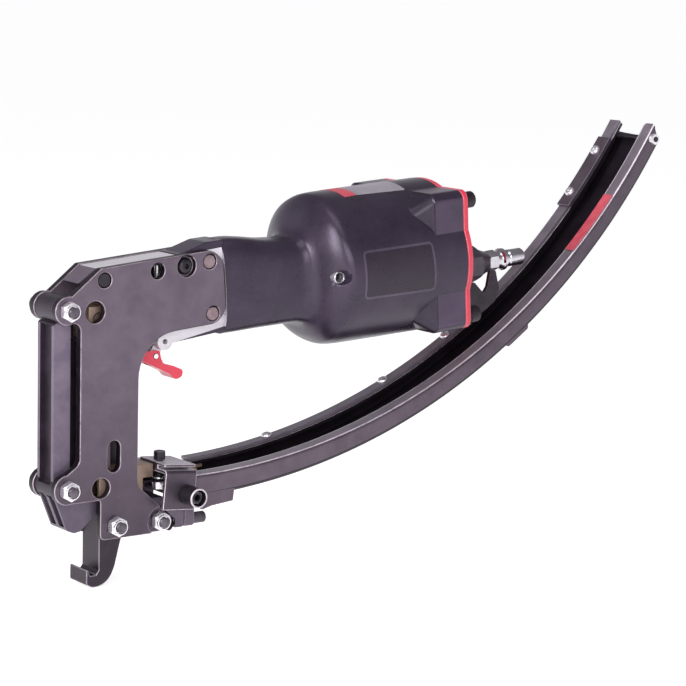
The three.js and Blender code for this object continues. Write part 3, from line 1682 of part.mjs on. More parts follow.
/** The upright bore for the valve stem, in the lower ear, on the barrel's axes. */
function stemBore() {
  const low = triggerPivot[1] - trigger.lugRadius;
  const high = stemTopZ + stem.play;
  const radius = stem.radius + CLEAR;
  const geometry = new THREE.CylinderGeometry(radius, radius, high - low, SMALL_SIDES);
  geometry.rotateX(Math.PI / 2);
  geometry.rotateY(barrel.rise);
  const [along, up] = toBarrel([housing.earX, (high + low) / 2]);
  geometry.translate(along, 0, up);
  return solid(geometry);
}

const sides = [-1, 1];
const capScrewPlaces = sides.flatMap((y) => sides.map((z) => [y * screwOffset, z * screwOffset]));

function capBody() {
  const inlay = squareRing(capFront, padHalf, housing.padRadius);
  const outlay = squareRing(capRear, padHalf, housing.padRadius);
  const bossEnd = capRear + cap.bossLength;
  const spigotFront = capFront - cap.spigotLength;
  const spigotRadius = boreRadius - cap.spigotPlay;
  const low = [0, -cap.bossDrop];
  const holeRadius = cap.screwRadius + CLEAR;
  const hole = (place) => barX(place, holeRadius, capFront - OVERRUN, capRear + OVERRUN, SMALL_SIDES);
  return cut(
    join(
      solid(loftRings([inlay, outlay])),
      barX([0, 0], housing.radius, capFront, capRear, BARREL_SIDES),
      barX(low, cap.bossRadius, capFront, bossEnd),
      barX([0, 0], spigotRadius, spigotFront, capFront + OVERRUN, BARREL_SIDES),
    ),
    barX([0, 0], spigotRadius - cap.thickness, spigotFront - OVERRUN, capFront, BARREL_SIDES),
    barX(low, inlet.neckRadius + inlet.neckPlay, capFront - OVERRUN, bossEnd + OVERRUN),
    ...capScrewPlaces.map(hole),
  );
}

/** A socket cap screw with a spring washer under its head. */
function capScrew(place, seat) {
  const head = seat + CLEAR + cap.washerHeight;
  const end = head + cap.headHeight;
  return cut(
    join(
      barX(place, cap.screwRadius, housingLength - cap.reach, head + OVERRUN, SMALL_SIDES),
      barX(place, cap.washerRadius, seat + CLEAR, head + CLEAR, SMALL_SIDES),
      barX(place, cap.headRadius, head, end),
    ),
    barX(place, cap.headRadius / 2, end - cap.headHeight / 2, end + OVERRUN, HEX_SIDES),
  );
}

const inletFront = capRear + cap.bossLength + CLEAR;
const inletRear = inletFront + inlet.length;

function inletAdapter() {
  const place = [0, -cap.bossDrop];
  const hexEnd = inletFront + inlet.hexLength;
  const neckEnd = inletFront - inlet.neckLength;
  const cone = turnedX([
    [hexEnd - OVERRUN, 0],
    [hexEnd - OVERRUN, inlet.across / 2],
    [hexEnd, inlet.across / 2],
    [inletRear, inlet.endRadius],
    [inletRear, 0],
  ], ROUND_SIDES, ...place);
  return cut(
    join(
      barX(place, hexRadius(inlet.across), inletFront, hexEnd, HEX_SIDES),
      cone,
      barX(place, inlet.neckRadius, neckEnd, inletFront + OVERRUN),
    ),
    barX(place, plug.stemRadius + inlet.stemPlay, inletRear - plug.stemLength - OVERRUN, inletRear + OVERRUN),
    barX(place, plug.boreRadius, neckEnd - OVERRUN, inletRear, SMALL_SIDES),
  );
}

/** The quick-connect plug: hexagon, collar, locking groove and nose, with a through bore. */
function plugBody() {
  const from = inletRear + CLEAR;
  const p = plug;
  const place = [0, -cap.bossDrop];
  const ends = [p.hexLength, p.neckLength, p.collarLength, p.grooveLength, p.noseLength];
  const at = (count) => from + ends.slice(0, count).reduce((sum, length) => sum + length, 0);
  const turned = turnedX([
    [from - p.stemLength, 0],
    [from - p.stemLength, p.stemRadius],
    [at(1), p.stemRadius],
    [at(1), p.neckRadius],
    [at(2), p.neckRadius],
    [at(2), p.collarRadius],
    [at(3), p.collarRadius],
    [at(3), p.grooveRadius],
    [at(4), p.grooveRadius],
    [at(4), p.noseRadius],
    [at(5) - p.noseTip, p.noseRadius],
    [at(5), p.noseRadius - p.noseTip],
    [at(5), 0],
  ], ROUND_SIDES, ...place);
  const hex = barX(place, hexRadius(p.hexAcross), from, at(1), HEX_SIDES);
  const bore = barX(place, p.boreRadius, from - p.stemLength - OVERRUN, at(5) + OVERRUN, SMALL_SIDES);
  return cut(join(turned, hex), bore);
}

/** The hanger hook: a tab under the near lower cap screw, bent into an arm with an upturned end. */
function hookBody() {
  const h = hook;
  const seat = capRear + CLEAR;
  const screw = -screwOffset;
  const armNear = screw + h.armInset;
  const armFar = armNear + h.armThickness;
  const at = (along, up) => [seat + along, screw + up];
  const [tabLow, tabHigh] = [screw - h.tabDown, screw + h.tabUp];
  const tab = box(seat, seat + h.tabThickness, screw - h.tabOuter, armFar, tabLow, tabHigh);
  const armShape = outline([
    [...at(0, -h.tabDown), 0],
    [...at(h.lowRearAlong, h.lowRearUp), h.lowRearRadius],
    [...at(h.heelAlong, h.heelUp), h.heelRadius],
    [...at(h.backAlong, h.backUp), h.radius],
    [...at(h.tipRearAlong, h.tipRearUp), h.radius],
    [...at(h.tipFrontAlong, h.tipFrontUp), h.radius],
    [...at(h.crotchRearAlong, h.crotchRearUp), h.radius],
    [...at(h.crotchFrontAlong, h.crotchFrontUp), h.radius],
    [...at(h.upperRearAlong, h.upperRearUp), h.radius],
    [...at(0, h.tabUp), 0],
  ]);
  const end = seat + h.tabThickness + OVERRUN;
  const screwHole = barX([screw, screw], cap.screwRadius + CLEAR, seat - OVERRUN, end, SMALL_SIDES);
  return cut(join(tab, slabY(armShape, armNear, armFar)), screwHole);
}

/** The piston's head and rod, turned about the barrel's axis. */
function pistonTurned() {
  const p = piston;
  const radius = boreRadius - p.play;
  const rear = pistonFront + p.thickness;
  const middle = pistonFront + p.thickness / 2;
  const groove = p.sealHalf + CLEAR;
  const rodEnd = toBarrel(pushEnd)[0] + p.clevisRear;
  return turnedX([
    [rodEnd, 0],
    [rodEnd, p.rodRadius],
    [pistonFront, p.rodRadius],
    [pistonFront, radius],
    [middle - groove, radius],
    [middle - groove, radius - p.grooveDepth],
    [middle + groove, radius - p.grooveDepth],
    [middle + groove, radius],
    [rear, radius],
    [rear, p.crownHollowRadius],
    [rear - p.crownHollowDepth, p.crownHollowRadius],
    [rear - p.crownHollowDepth, 0],
  ], BARREL_SIDES);
}

/** Piston with its rod and the slotted clevis that holds the push link's pin. */
function pistonBody() {
  const p = piston;
  const half = p.clevisHalf;
  const pinAlong = toBarrel(pushEnd)[0];
  const clevisEnd = pinAlong - p.clevisFront;
  const clevisRoot = pinAlong + p.clevisRear + OVERRUN;
  const cheekBlock = box(clevisEnd, clevisRoot, -half, half, -half, half);
  const cheeks = cheekBlock.intersect(barX([0, 0], p.clevisRound, clevisEnd - OVERRUN, clevisRoot));
  const reach = toggle.pushPinRadius + toggle.slotPlay;
  const [front, back] = limits((share) => pinInClevis(share)[0]);
  const [down, up] = limits((share) => pinInClevis(share)[1]);
  const gapHalf = innerHigh + CLEAR;
  const gapEnd = back + toggle.eyeRadius + CLEAR;
  const gap = box(clevisEnd - OVERRUN, gapEnd, -gapHalf, gapHalf, -half - OVERRUN, half + OVERRUN);
  const slot = slabY(outline([
    [front - reach, down - reach, reach],
    [back + reach, down - reach, reach],
    [back + reach, up + reach, reach],
    [front - reach, up + reach, reach],
  ]), -plateOuter, plateOuter);
  return cut(join(pistonTurned(), cheeks), gap, slot);
}

/** A plain ring about the barrel's axis. */
function ring(from, length, inner, outer, facets = ROUND_SIDES) {
  const end = from + length;
  const hole = barX([0, 0], inner, from - OVERRUN, end + OVERRUN, facets);
  return cut(barX([0, 0], outer, from, end, facets), hole);
}

function sealBody() {
  const p = piston;
  const from = pistonFront + p.thickness / 2 - p.sealHalf;
  const inner = boreRadius - p.play - p.grooveDepth + CLEAR;
  return ring(from, 2 * p.sealHalf, inner, boreRadius - p.sealPlay, BARREL_SIDES);
}

function bumperBody() {
  return ring(boreFront + CLEAR, bumper.thickness, bumper.innerRadius, bumper.outerRadius);
}

function triggerBody() {
  const t = trigger;
  const [x, z] = triggerPivot;
  const corner = (dx, dz, radius = t.radius) => [x + dx, z + dz, radius];
  const whole = slabY(outline([
    corner(t.frontX, t.frontZ, 0),
    corner(t.topFrontX, t.topZ),
    corner(t.topRearX, t.topZ),
    corner(t.backX, t.backZ),
    corner(t.kneeX, t.kneeZ),
    corner(t.padX, t.padZ),
    corner(t.lipX, t.lipZ),
    corner(t.curlX, t.curlZ),
    corner(t.bellyX, t.bellyZ, t.bellyRadius),
  ]), -t.halfWidth, t.halfWidth);
  const inside = slabY(outline([
    corner(t.frontX + t.web, t.frontZ + t.web / 2, 0),
    corner(t.topFrontX, t.topZ + OVERRUN, 0),
    corner(t.kneeX + t.web, t.topZ + OVERRUN, 0),
    corner(t.kneeX + t.web, t.bellyZ + t.web, 0),
    corner(t.bellyX, t.bellyZ + t.web, 0),
    corner(t.frontX + t.web, t.frontZ - 2 * t.web, 0),
  ]), -t.slotHalf, t.slotHalf);
  const reach = t.halfWidth + OVERRUN;
  return cut(whole, inside, barY(triggerPivot, t.pinRadius + CLEAR, -reach, reach, SMALL_SIDES));
}

/** The valve stem over the trigger, from the trigger's floor up into the ear. */
function stemBody() {
  const low = triggerPivot[1] + trigger.bellyZ + trigger.web + CLEAR;
  return barZ([housing.earX, 0], stem.radius, low, stemTopZ, SMALL_SIDES);
}

function addFrame() {
  piece("near_plate", sidePlate(-1), finish.platesteel);
  piece("far_plate", sidePlate(1), finish.platesteel);
  piece("front_cover", frontCover(), finish.casting);
  piece("top_block", topBlockBody(), finish.aluminium);
  piece("blade_guide", guideBody(), finish.platesteel);
  piece("clip_track_insert", insertBody(), finish.tan);
  piece("anvil", anvilBody(), finish.platesteel);
  for (const [name, place] of Object.entries(boltPlaces)) {
    const seat = name === "root" ? -plateOuter + bolt.rootRecess : -plateOuter;
    piece(`${name}_frame_bolt`, frameBolt(place, seat), finish.blackSteel);
    piece(`${name}_lock_nut`, lockNut(place, seat), finish.zinc);
  }
  const pin = (place) => barY(place, arm.dowelRadius, CLEAR - plateOuter, plateOuter - CLEAR);
  piece("fulcrum_pin", pin(fulcrum), finish.blackSteel);
  piece("upper_dowel", pin(upperDowel), finish.dowel);
  piece("lower_dowel", pin(lowerDowel), finish.dowel);
  piece("near_button_screw", buttonScrew(-1), finish.blackSteel);
  piece("far_button_screw", buttonScrew(1), finish.blackSteel);
}

function addMechanism() {
  piece("driver", driverBody(), finish.tan);
  piece("upper_link", upperLink(), finish.tan);
  piece("lower_link", lowerLink(), finish.tan);
  piece("push_link", pushLink(), finish.blackSteel);
}

function addMagazine() {
  piece("root_block", rootBlock(), finish.casting);
  piece("root_cap", rootCap(), finish.casting);
  piece("thumb_screw", thumbScrew(), finish.blackSteel);
  piece("magazine_bracket", bracketBody(), finish.platesteel);
  piece("knob_sleeve", sleeveBody(), finish.blackSteel);
  piece("hold_down_leaf", leafPlate(), finish.blackSteel);
  piece("leaf_screw", leafScrew(), finish.blackSteel);
  piece("leaf_washer", leafWasher(upperWasherZ), finish.zinc);
  piece("leaf_nut", leafNut(), finish.zinc);
  piece("leaf_spring", leafSpring(), finish.blackSteel);
  piece("magazine_channel", channelBody(), finish.platesteel);
  piece("far_track_strip", stripBody(), finish.platesteel);
  piece("hold_down_plate", holdDownPlate(), finish.platesteel);
  const foot = stripTop - CLEAR;
  stripScrew.angles.forEach((angle, i) => {
    piece(`track_screw_${i + 1}`, trackScrew(angle, foot - stripScrew.height, foot), finish.zinc);
  });
  piece("end_bolt", endBoltBody(), finish.blackSteel);
  piece("end_nut", endNut(), finish.zinc);
  piece("magazine_tag", tagBody(), finish.red);
  piece("clip_pusher", pusherBody(), finish.tan);
}

function addBarrel() {
  piece("housing", housingBody(), finish.paint, barrelGroup);
  piece("rear_cap", capBody(), finish.red, barrelGroup);
  const names = ["near_lower", "near_upper", "far_lower", "far_upper"];
  capScrewPlaces.forEach((place, i) => {
    const seat = names[i] === "near_lower" ? capRear + CLEAR + hook.tabThickness : capRear;
    piece(`${names[i]}_cap_screw`, capScrew(place, seat), finish.blackSteel, barrelGroup);
  });
  piece("inlet_adapter", inletAdapter(), finish.blackSteel, barrelGroup);
  piece("air_plug", plugBody(), finish.chrome, barrelGroup);
  piece("hanger_hook", hookBody(), finish.blackSteel, barrelGroup);
  piece("piston", pistonBody(), finish.aluminium, barrelGroup);
  piece("piston_seal", sealBody(), finish.rubber, barrelGroup);
  piece("bumper", bumperBody(), finish.rubber, barrelGroup);
}

function addTrigger() {
  piece("trigger", triggerBody(), finish.red);
  const reach = trigger.halfWidth + CLEAR;
  piece("trigger_pin", barY(triggerPivot, trigger.pinRadius, -reach, reach, SMALL_SIDES), finish.zinc);
  piece("valve_stem", stemBody(), finish.zinc);
}

addFrame();
addMechanism();
addMagazine();
addBarrel();
addTrigger();

export default tool;
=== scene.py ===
"""Looks of a pneumatic clinch clip tool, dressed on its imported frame.

Sizes are millimetres in the frame's axes: X to the rear, Y across with the near side negative, Z up.
"""

from __future__ import annotations

import json
import logging
import math
from dataclasses import dataclass, replace
from enum import Enum
from typing import Callable, Iterable, Sequence

import bmesh
import bpy
from mathutils import Matrix, Vector

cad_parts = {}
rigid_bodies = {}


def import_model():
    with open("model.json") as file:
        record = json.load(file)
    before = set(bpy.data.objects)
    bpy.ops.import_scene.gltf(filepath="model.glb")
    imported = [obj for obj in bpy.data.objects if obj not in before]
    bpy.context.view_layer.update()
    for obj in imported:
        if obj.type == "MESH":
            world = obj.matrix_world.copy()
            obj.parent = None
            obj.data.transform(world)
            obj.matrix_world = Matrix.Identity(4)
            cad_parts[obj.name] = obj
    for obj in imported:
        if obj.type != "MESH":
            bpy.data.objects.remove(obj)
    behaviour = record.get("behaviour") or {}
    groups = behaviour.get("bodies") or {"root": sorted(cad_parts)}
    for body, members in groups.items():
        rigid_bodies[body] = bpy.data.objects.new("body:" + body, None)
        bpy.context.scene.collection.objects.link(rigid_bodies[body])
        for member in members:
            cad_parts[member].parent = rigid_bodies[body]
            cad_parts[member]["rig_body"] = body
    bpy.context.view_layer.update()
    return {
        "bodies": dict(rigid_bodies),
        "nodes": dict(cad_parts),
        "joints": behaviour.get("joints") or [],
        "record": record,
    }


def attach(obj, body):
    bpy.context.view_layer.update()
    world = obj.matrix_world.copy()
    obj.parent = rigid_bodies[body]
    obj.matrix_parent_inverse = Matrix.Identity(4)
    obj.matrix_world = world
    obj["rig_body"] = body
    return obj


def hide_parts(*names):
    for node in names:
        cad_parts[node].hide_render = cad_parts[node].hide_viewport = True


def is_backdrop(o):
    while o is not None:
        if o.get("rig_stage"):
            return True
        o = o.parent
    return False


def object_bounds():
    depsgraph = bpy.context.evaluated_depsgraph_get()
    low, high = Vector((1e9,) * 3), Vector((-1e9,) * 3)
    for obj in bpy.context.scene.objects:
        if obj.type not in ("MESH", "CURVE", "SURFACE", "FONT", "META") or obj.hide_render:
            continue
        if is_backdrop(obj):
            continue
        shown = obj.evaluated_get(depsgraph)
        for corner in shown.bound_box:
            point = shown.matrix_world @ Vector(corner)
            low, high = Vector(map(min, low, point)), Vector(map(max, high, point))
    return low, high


MM = 0.001
FINE = 64
# Colour of the painted shade that darkens finishes towards the foot.
FOOT_SHADE = "#1d171f"
PAINT_FLECK = "#55485d"
TOUCH = 1e-7
# Heights in metres between which that painted shade fades out upwards.
FOOT_SHADE_HEIGHT = (0.025, 0.12)
LOG = logging.getLogger("clinch_tool")
Flat = tuple[float, float]
Spot = tuple[Sequence[float], Sequence[float]]
Colour = tuple[float, float, float, float]
Tones = tuple[str, str, str]
Sizes = tuple[float, float, float]
Obj = bpy.types.Object
Face = bpy.types.MeshPolygon
Tree = bpy.types.NodeTree
Socket = bpy.types.NodeSocket


# ---------------------------------------------------------------- finishes


def to_linear(colour: str) -> Colour:
    """Turn an sRGB hex colour into the linear values that a shader takes.

    Args:
        colour: The colour as "#rrggbb".

    Returns:
        Linear red, green, blue and an alpha of one.
    """
    shares = [int(colour[i : i + 2], 16) / 255 for i in (1, 3, 5)]
    linear = [c / 12.92 if c <= 0.04045 else ((c + 0.055) / 1.055) ** 2.4 for c in shares]
    return (linear[0], linear[1], linear[2], 1.0)


def add_node(
    tree: Tree,
    kind: str,
    settings: dict[str, object] | None = None,
    inputs: dict[str | int, object] | None = None,
) -> bpy.types.Node:
    """Add one node with its settings, values and links.

    Args:
        tree: The tree that gets the node.
        kind: The node's type name.
        settings: Properties of the node by name.
        inputs: Values, or sockets to link from, by the input's name or number.

    Returns:
        The new node.
    """
    node = tree.nodes.new(kind)
    for key, value in (settings or {}).items():
        setattr(node, key, value)
    for key, value in (inputs or {}).items():
        if isinstance(value, Socket):
            tree.links.new(value, node.inputs[key])
        else:
            node.inputs[key].default_value = value
    return node


@dataclass(frozen=True)
class Finish:
    """One finish of the tool.

    The tones are the colour, the shade that clouds it, and the flecks. The pattern gives the size of
    the clouds, the size of the grains and the depth of their relief, in millimetres.
    """

    name: str = "finish"
    tones: Tones = ("#808080", "#707070", "#909090")
    fleck_from: float = 0.68
    metallic: float = 0.0
    roughness: float = 0.5
    spread: float = 0.08
    pattern: Sizes = (14.0, 0.8, 0.05)
    run: Sizes = (1.0, 1.0, 1.0)
    coat: float = 0.0
    # Share of painted shade at the foot.
    foot_shade: float = 0.0

    def material(self) -> bpy.types.Material:
        """Build the material once.

        Returns:
            The material, also when it was built before.
        """
        found = bpy.data.materials.get(self.name)
        if found:
            return found
        made = bpy.data.materials.new(self.name)
        made.use_nodes = True
        tree = made.node_tree
        tree.nodes.clear()
        colour, shade, fleck = (to_linear(tone) for tone in self.tones)
        cloud, grain, relief = self.pattern
        place = add_node(tree, "ShaderNodeTexCoord").outputs["Object"]
        lie = add_node(tree, "ShaderNodeMapping", inputs={"Vector": place, "Scale": self.run})
        clouds = self.noise(tree, lie.outputs["Vector"], cloud, 5.0)
        grains = self.noise(tree, lie.outputs["Vector"], grain, 2.0)
        share = self.between(tree, clouds, 0.36, 0.64, 0.0, 1.0)
        tone = self.blend(tree, share, colour, shade)
        height = add_node(tree, "ShaderNodeSeparateXYZ", inputs={"Vector": place}).outputs["Z"]
        # Painted shade: the tone darkens towards the foot.
        foot_shade_share = self.between(tree, height, *FOOT_SHADE_HEIGHT, self.foot_shade, 0.0)
        tone = self.blend(tree, foot_shade_share, tone, to_linear(FOOT_SHADE))
        speck = self.between(tree, grains, self.fleck_from, self.fleck_from + 0.1, 0.0, 0.75)
        rough = self.between(
            tree, clouds, 0.3, 0.7, self.roughness + self.spread, self.roughness - self.spread
        )
        bump = {"Strength": 1.0, "Distance": relief * MM, "Height": grains}
        inputs = {
            "Base Color": self.blend(tree, speck, tone, fleck),
            "Metallic": self.metallic,
            "Roughness": rough,
            "Normal": add_node(tree, "ShaderNodeBump", inputs=bump).outputs["Normal"],
            "Coat Weight": self.coat,
        }
        shader = add_node(tree, "ShaderNodeBsdfPrincipled", inputs=inputs)
        add_node(tree, "ShaderNodeOutputMaterial", inputs={"Surface": shader.outputs["BSDF"]})
        return made

    def blend(self, tree: Tree, share: Socket, one: Socket | Colour, two: Colour) -> Socket:
        """Blend a colour over another by a share, and give the result."""
        inputs = {"Factor": share, 6: one, 7: two}
        return add_node(tree, "ShaderNodeMix", {"data_type": "RGBA"}, inputs).outputs[2]

    def noise(self, tree: Tree, at: Socket, size: float, detail: float) -> Socket:
        """Add a noise with features of a size in millimetres and octaves of finer detail."""
        inputs = {"Vector": at, "Scale": 1 / (size * MM), "Detail": detail, "Roughness": 0.6}
        return add_node(tree, "ShaderNodeTexNoise", inputs=inputs).outputs["Fac"]

    def between(
        self, tree: Tree, value: Socket, low: float, high: float, start: float, end: float
    ) -> Socket:
        """Map a value from one range to another, and hold it there."""
        inputs = {"Value": value, 1: low, 2: high, 3: start, 4: end}
        return add_node(tree, "ShaderNodeMapRange", {"clamp": True}, inputs).outputs[0]


@dataclass(frozen=True)
class TumbledPlateSteel(Finish):
    """Blackened steel plate, tumbled after cutting: cloudy violet grey, with painted shade towards the foot.
    """

    name: str = "tumbled_plate_steel"
    foot_shade: float = 0.5
    tones: Tones = ("#756876", "#665a68", "#83778a")
    metallic: float = 0.6
    roughness: float = 0.4
    pattern: Sizes = (16.0, 0.9, 0.03)


@dataclass(frozen=True)
class RubbedEdgeAndHighlight(Finish):
    """The same plate's rounded edges, rubbed bright by tumbling and lightened further as a painted
    highlight: a thin pinkish line.
    """

    name: str = "rubbed_edge_and_highlight"
    tones: Tones = ("#b9aab5", "#8f818d", "#d6c9d3")
    metallic: float = 0.5
    roughness: float = 0.3
    pattern: Sizes = (7.0, 0.5, 0.01)


@dataclass(frozen=True)
class CastCover(Finish):
    """Die casting with a grey wash: fine sandy skin, soft light, with painted shade towards the foot."""

    name: str = "cast_cover"
    foot_shade: float = 0.4
    tones: Tones = ("#857889", "#716579", "#998da0")
    metallic: float = 0.45
    roughness: float = 0.42
    pattern: Sizes = (11.0, 0.7, 0.06)


@dataclass(frozen=True)
class MachinedAluminium(Finish):
    """Milled aluminium left raw: bright, with faint tool runs along the tool."""

    name: str = "machined_aluminium"
    tones: Tones = ("#efeaf1", "#d8d1db", "#fbf8fc")
    metallic: float = 0.4
    roughness: float = 0.36
    pattern: Sizes = (9.0, 0.5, 0.02)
    run: Sizes = (0.25, 1.0, 1.0)


@dataclass(frozen=True)
class TexturedBlackPaint(Finish):
    """Baked black paint on the cylinder casting: a fine orange-peel texture that greys in the light."""

    name: str = "textured_black_paint"
    tones: Tones = ("#42364a", "#382e3f", PAINT_FLECK)
    fleck_from: float = 0.62
    metallic: float = 0.35
    roughness: float = 0.29
    spread: float = 0.03
    pattern: Sizes = (18.0, 0.8, 0.06)


@dataclass(frozen=True)
class RedPaint(Finish):
    """Glossy red enamel on cap and trigger: even colour, soft orange peel, a clear skin."""

    name: str = "red_paint"
    tones: Tones = ("#fb4a62", "#f03d57", "#ff7486")
    fleck_from: float = 0.72
    roughness: float = 0.34
    spread: float = 0.05
    pattern: Sizes = (10.0, 1.2, 0.02)
    coat: float = 0.25


@dataclass(frozen=True)
class BrightZinc(Finish):
    """Clear zinc plating on nuts, screws and washers: silvery, slightly blotched."""

    name: str = "bright_zinc"
    tones: Tones = ("#fbf8fc", "#e2dde5", "#ffffff")
    metallic: float = 0.8
    roughness: float = 0.24
    pattern: Sizes = (4.0, 0.4, 0.01)


@dataclass(frozen=True)
class TanChromate(Finish):
    """Hardened blade steel with a tan chromate: warm brown, brushed upright."""

    name: str = "tan_chromate"
    tones: Tones = ("#b29a8b", "#937d6f", "#cdb7a7")
    metallic: float = 0.45
    roughness: float = 0.4
    pattern: Sizes = (6.0, 0.5, 0.02)
    run: Sizes = (1.0, 1.0, 0.3)


@dataclass(frozen=True)
class GroundDowel(Finish):
    """Ends of ground dowel pins: flat, pinkish brown and mottled."""

    name: str = "ground_dowel"
    tones: Tones = ("#a08a90", "#836f73", "#bfabae")
    metallic: float = 0.3
    roughness: float = 0.42
    pattern: Sizes = (2.2, 0.35, 0.02)


@dataclass(frozen=True)
class BlackOxide(Finish):
    """Oiled black oxide on screws, hook and adapter: deep grey with a soft gloss."""

    name: str = "black_oxide"
    tones: Tones = ("#3a333c", "#2b262e", "#554d59")
    metallic: float = 0.5
    roughness: float = 0.34
    pattern: Sizes = (5.0, 0.4, 0.015)


@dataclass(frozen=True)
class PolishedChrome(Finish):
    """Chromed quick-connect plug: a near mirror, with the faintest turning marks."""

    name: str = "polished_chrome"
    tones: Tones = ("#dcd9df", "#cbc7cf", "#f6f4f7")
    metallic: float = 1.0
    roughness: float = 0.13
    spread: float = 0.04
    pattern: Sizes = (6.0, 0.4, 0.004)


@dataclass(frozen=True)
class BentSheetSteel(Finish):
    """Bent and blackened sheet of the magazine: lilac grey, lightly handled, with a soft sheen."""

    name: str = "bent_sheet_steel"
    tones: Tones = ("#6a5e6a", "#594d59", "#7a6e7b")
    metallic: float = 0.5
    roughness: float = 0.36
    pattern: Sizes = (20.0, 0.8, 0.02)


@dataclass(frozen=True)
class RubbedRailAndHighlight(Finish):
    """Flange tops and strips that the clips slide on: the same sheet, rubbed a little smoother and lighter,
    partly as a painted highlight of the lit tops.
    """

    name: str = "rubbed_rail_and_highlight"
    tones: Tones = ("#958b97", "#857b87", "#a69ca8")
    metallic: float = 0.45
    roughness: float = 0.4
    spread: float = 0.04
    pattern: Sizes = (15.0, 0.6, 0.01)


@dataclass(frozen=True)
class RedLabel(Finish):
    """Bare red film on the magazine's flange: flat, slightly faded, with no print."""

    name: str = "red_label"
    tones: Tones = ("#e0606f", "#d24c5e", "#ee8490")
    fleck_from: float = 0.74
    roughness: float = 0.45
    pattern: Sizes = (6.0, 0.6, 0.008)


@dataclass(frozen=True)
class NitrileRubber(Finish):
    """Moulded seal and bumper: dull black with a dusty bloom."""

    name: str = "nitrile_rubber"
    tones: Tones = ("#262327", "#1e1b1f", "#363236")
    roughness: float = 0.78
    pattern: Sizes = (8.0, 0.6, 0.03)


PLATE = TumbledPlateSteel()
# Rounded plate edges: tumbling wear with a painted highlight.
EDGE = RubbedEdgeAndHighlight()
CAST = CastCover()
RAW = MachinedAluminium()
PAINT = TexturedBlackPaint()
RED = RedPaint()
ZINC = BrightZinc()
TAN = TanChromate()
DOWEL = GroundDowel()
BLACK = BlackOxide()
CHROME = PolishedChrome()
SHEET = BentSheetSteel()
# Rail finish: rubbed wear with a painted highlight on upward faces.
RAIL = RubbedRailAndHighlight()
LABEL = RedLabel()
RUBBER = NitrileRubber()
# Painted shade for the channel's walls, the cover's rib and pits, and the slot's backing.
DEEP = replace(SHEET, name="trough_painted_shade", tones=("#2a232c", "#201a22", "#39323c"), metallic=0.3)
BOLT_END = replace(BLACK, name="plain_bolt_end", tones=("#6d6570", "#544c57", "#8d8590"))
# Painted shade on the plates' cut sides and on their rear and lower bevels.
CUT = replace(PLATE, name="cut_face_painted_shade", tones=("#2f2831", "#251f27", "#3e3641"), foot_shade=0.2)
BENT = replace(PLATE, name="bent_bracket_steel", tones=("#6a5f6c", "#594e5b", "#7b707d"), foot_shade=0.35)
FORGED = replace(PLATE, name="forged_anvil_steel", tones=("#504552", "#413742", "#605562"))
# Painted shade for the cover's groove and ear bosses.
GROOVE = replace(CAST, name="cover_groove_shade", tones=("#443a47", "#362d38", "#564c59"))
FOIL = replace(RAIL, name="bare_foil", tones=("#bcb4bf", "#aaa2ad", "#cfc8d2"), metallic=0.2)
# Fold and rim lines: rubbed wear with a painted highlight.
FOLD = replace(EDGE, name="rubbed_fold_and_highlight", tones=("#efe5ee", "#d3c7d2", "#fbf4fa"), metallic=0.3)
# Painted highlight for the bracket's upward faces.
TOP_FACE = replace(RAIL, name="top_face_painted_highlight", tones=("#c9bfcb", "#b0a6b3", "#ddd4df"))
# Painted highlight on the nameplate's raised rim.
RIM = replace(PAINT, name="rim_paint_highlight", tones=("#625668", "#54485a", PAINT_FLECK), pattern=(18.0, 0.8, 0.01))
FILM = replace(
    PAINT,
    name="plate_film",
    tones=("#382e3c", "#322836", PAINT_FLECK),
    roughness=0.28,
    pattern=(18.0, 0.8, 0.02),
)
# Painted highlight on the top block's front slope.
SLOPE = replace(PLATE, name="slope_steel_painted_highlight", tones=("#8d808f", "#7a6d7c", "#9f93a1"))
# Painted shade on the links deep in the access hole.
LINK = replace(TAN, name="chromate_painted_shade", tones=("#8f7b74", "#75645e", "#a8958d"))
# Painted highlight on the pads' flats.
PAD = replace(PAINT, name="pad_paint_highlight", tones=("#57495f", "#4b3f53", PAINT_FLECK))
# Painted shade on the ramps ahead of the pads.
RAMP = replace(PAINT, name="ramp_paint_shade", tones=("#382e3f", "#2f2635", PAINT_FLECK))
# Painted highlight on the inlet adapter's black oxide.
ADAPTER = replace(BLACK, name="adapter_black_painted_highlight", tones=("#5f5763", "#4a434e", "#7b737f"), metallic=0.5)
# Edges of black parts: wear with a painted highlight.
DARK_EDGE = replace(EDGE, name="worn_black_edge_and_highlight", tones=("#6a606d", "#554c58", "#857a88"))
# Edges of castings and sheet pieces: wear with a painted highlight.
CAST_EDGE = replace(EDGE, name="worn_casting_edge_and_highlight", tones=("#9c909e", "#85798a", "#b5abb8"))
# Painted highlight on the red paint's rounded edges.
RED_EDGE = replace(RED, name="red_paint_edge_highlight", tones=("#ff7484", "#f25c6e", "#ff98a2"))


# ---------------------------------------------------------------- mesh work


class Axis(Enum):
    """The direction that an outline is pushed along."""

    X = "x"
    Y = "y"
    Z = "z"

    def place(self, a: float, b: float, t: float) -> Vector:
        """Put an outline's point and its depth into the frame, in metres."""
        point = {Axis.X: (t, a, b), Axis.Y: (a, t, b), Axis.Z: (a, b, t)}[self]
        return Vector(point) * MM


class Work(Enum):
    """How one body works on another."""

    JOIN = "UNION"
    CUT = "DIFFERENCE"
    SHARE = "INTERSECT"


def shift(x: float, y: float, z: float) -> Matrix:
    """A move by millimetres."""
    return Matrix.Translation((x * MM, y * MM, z * MM))


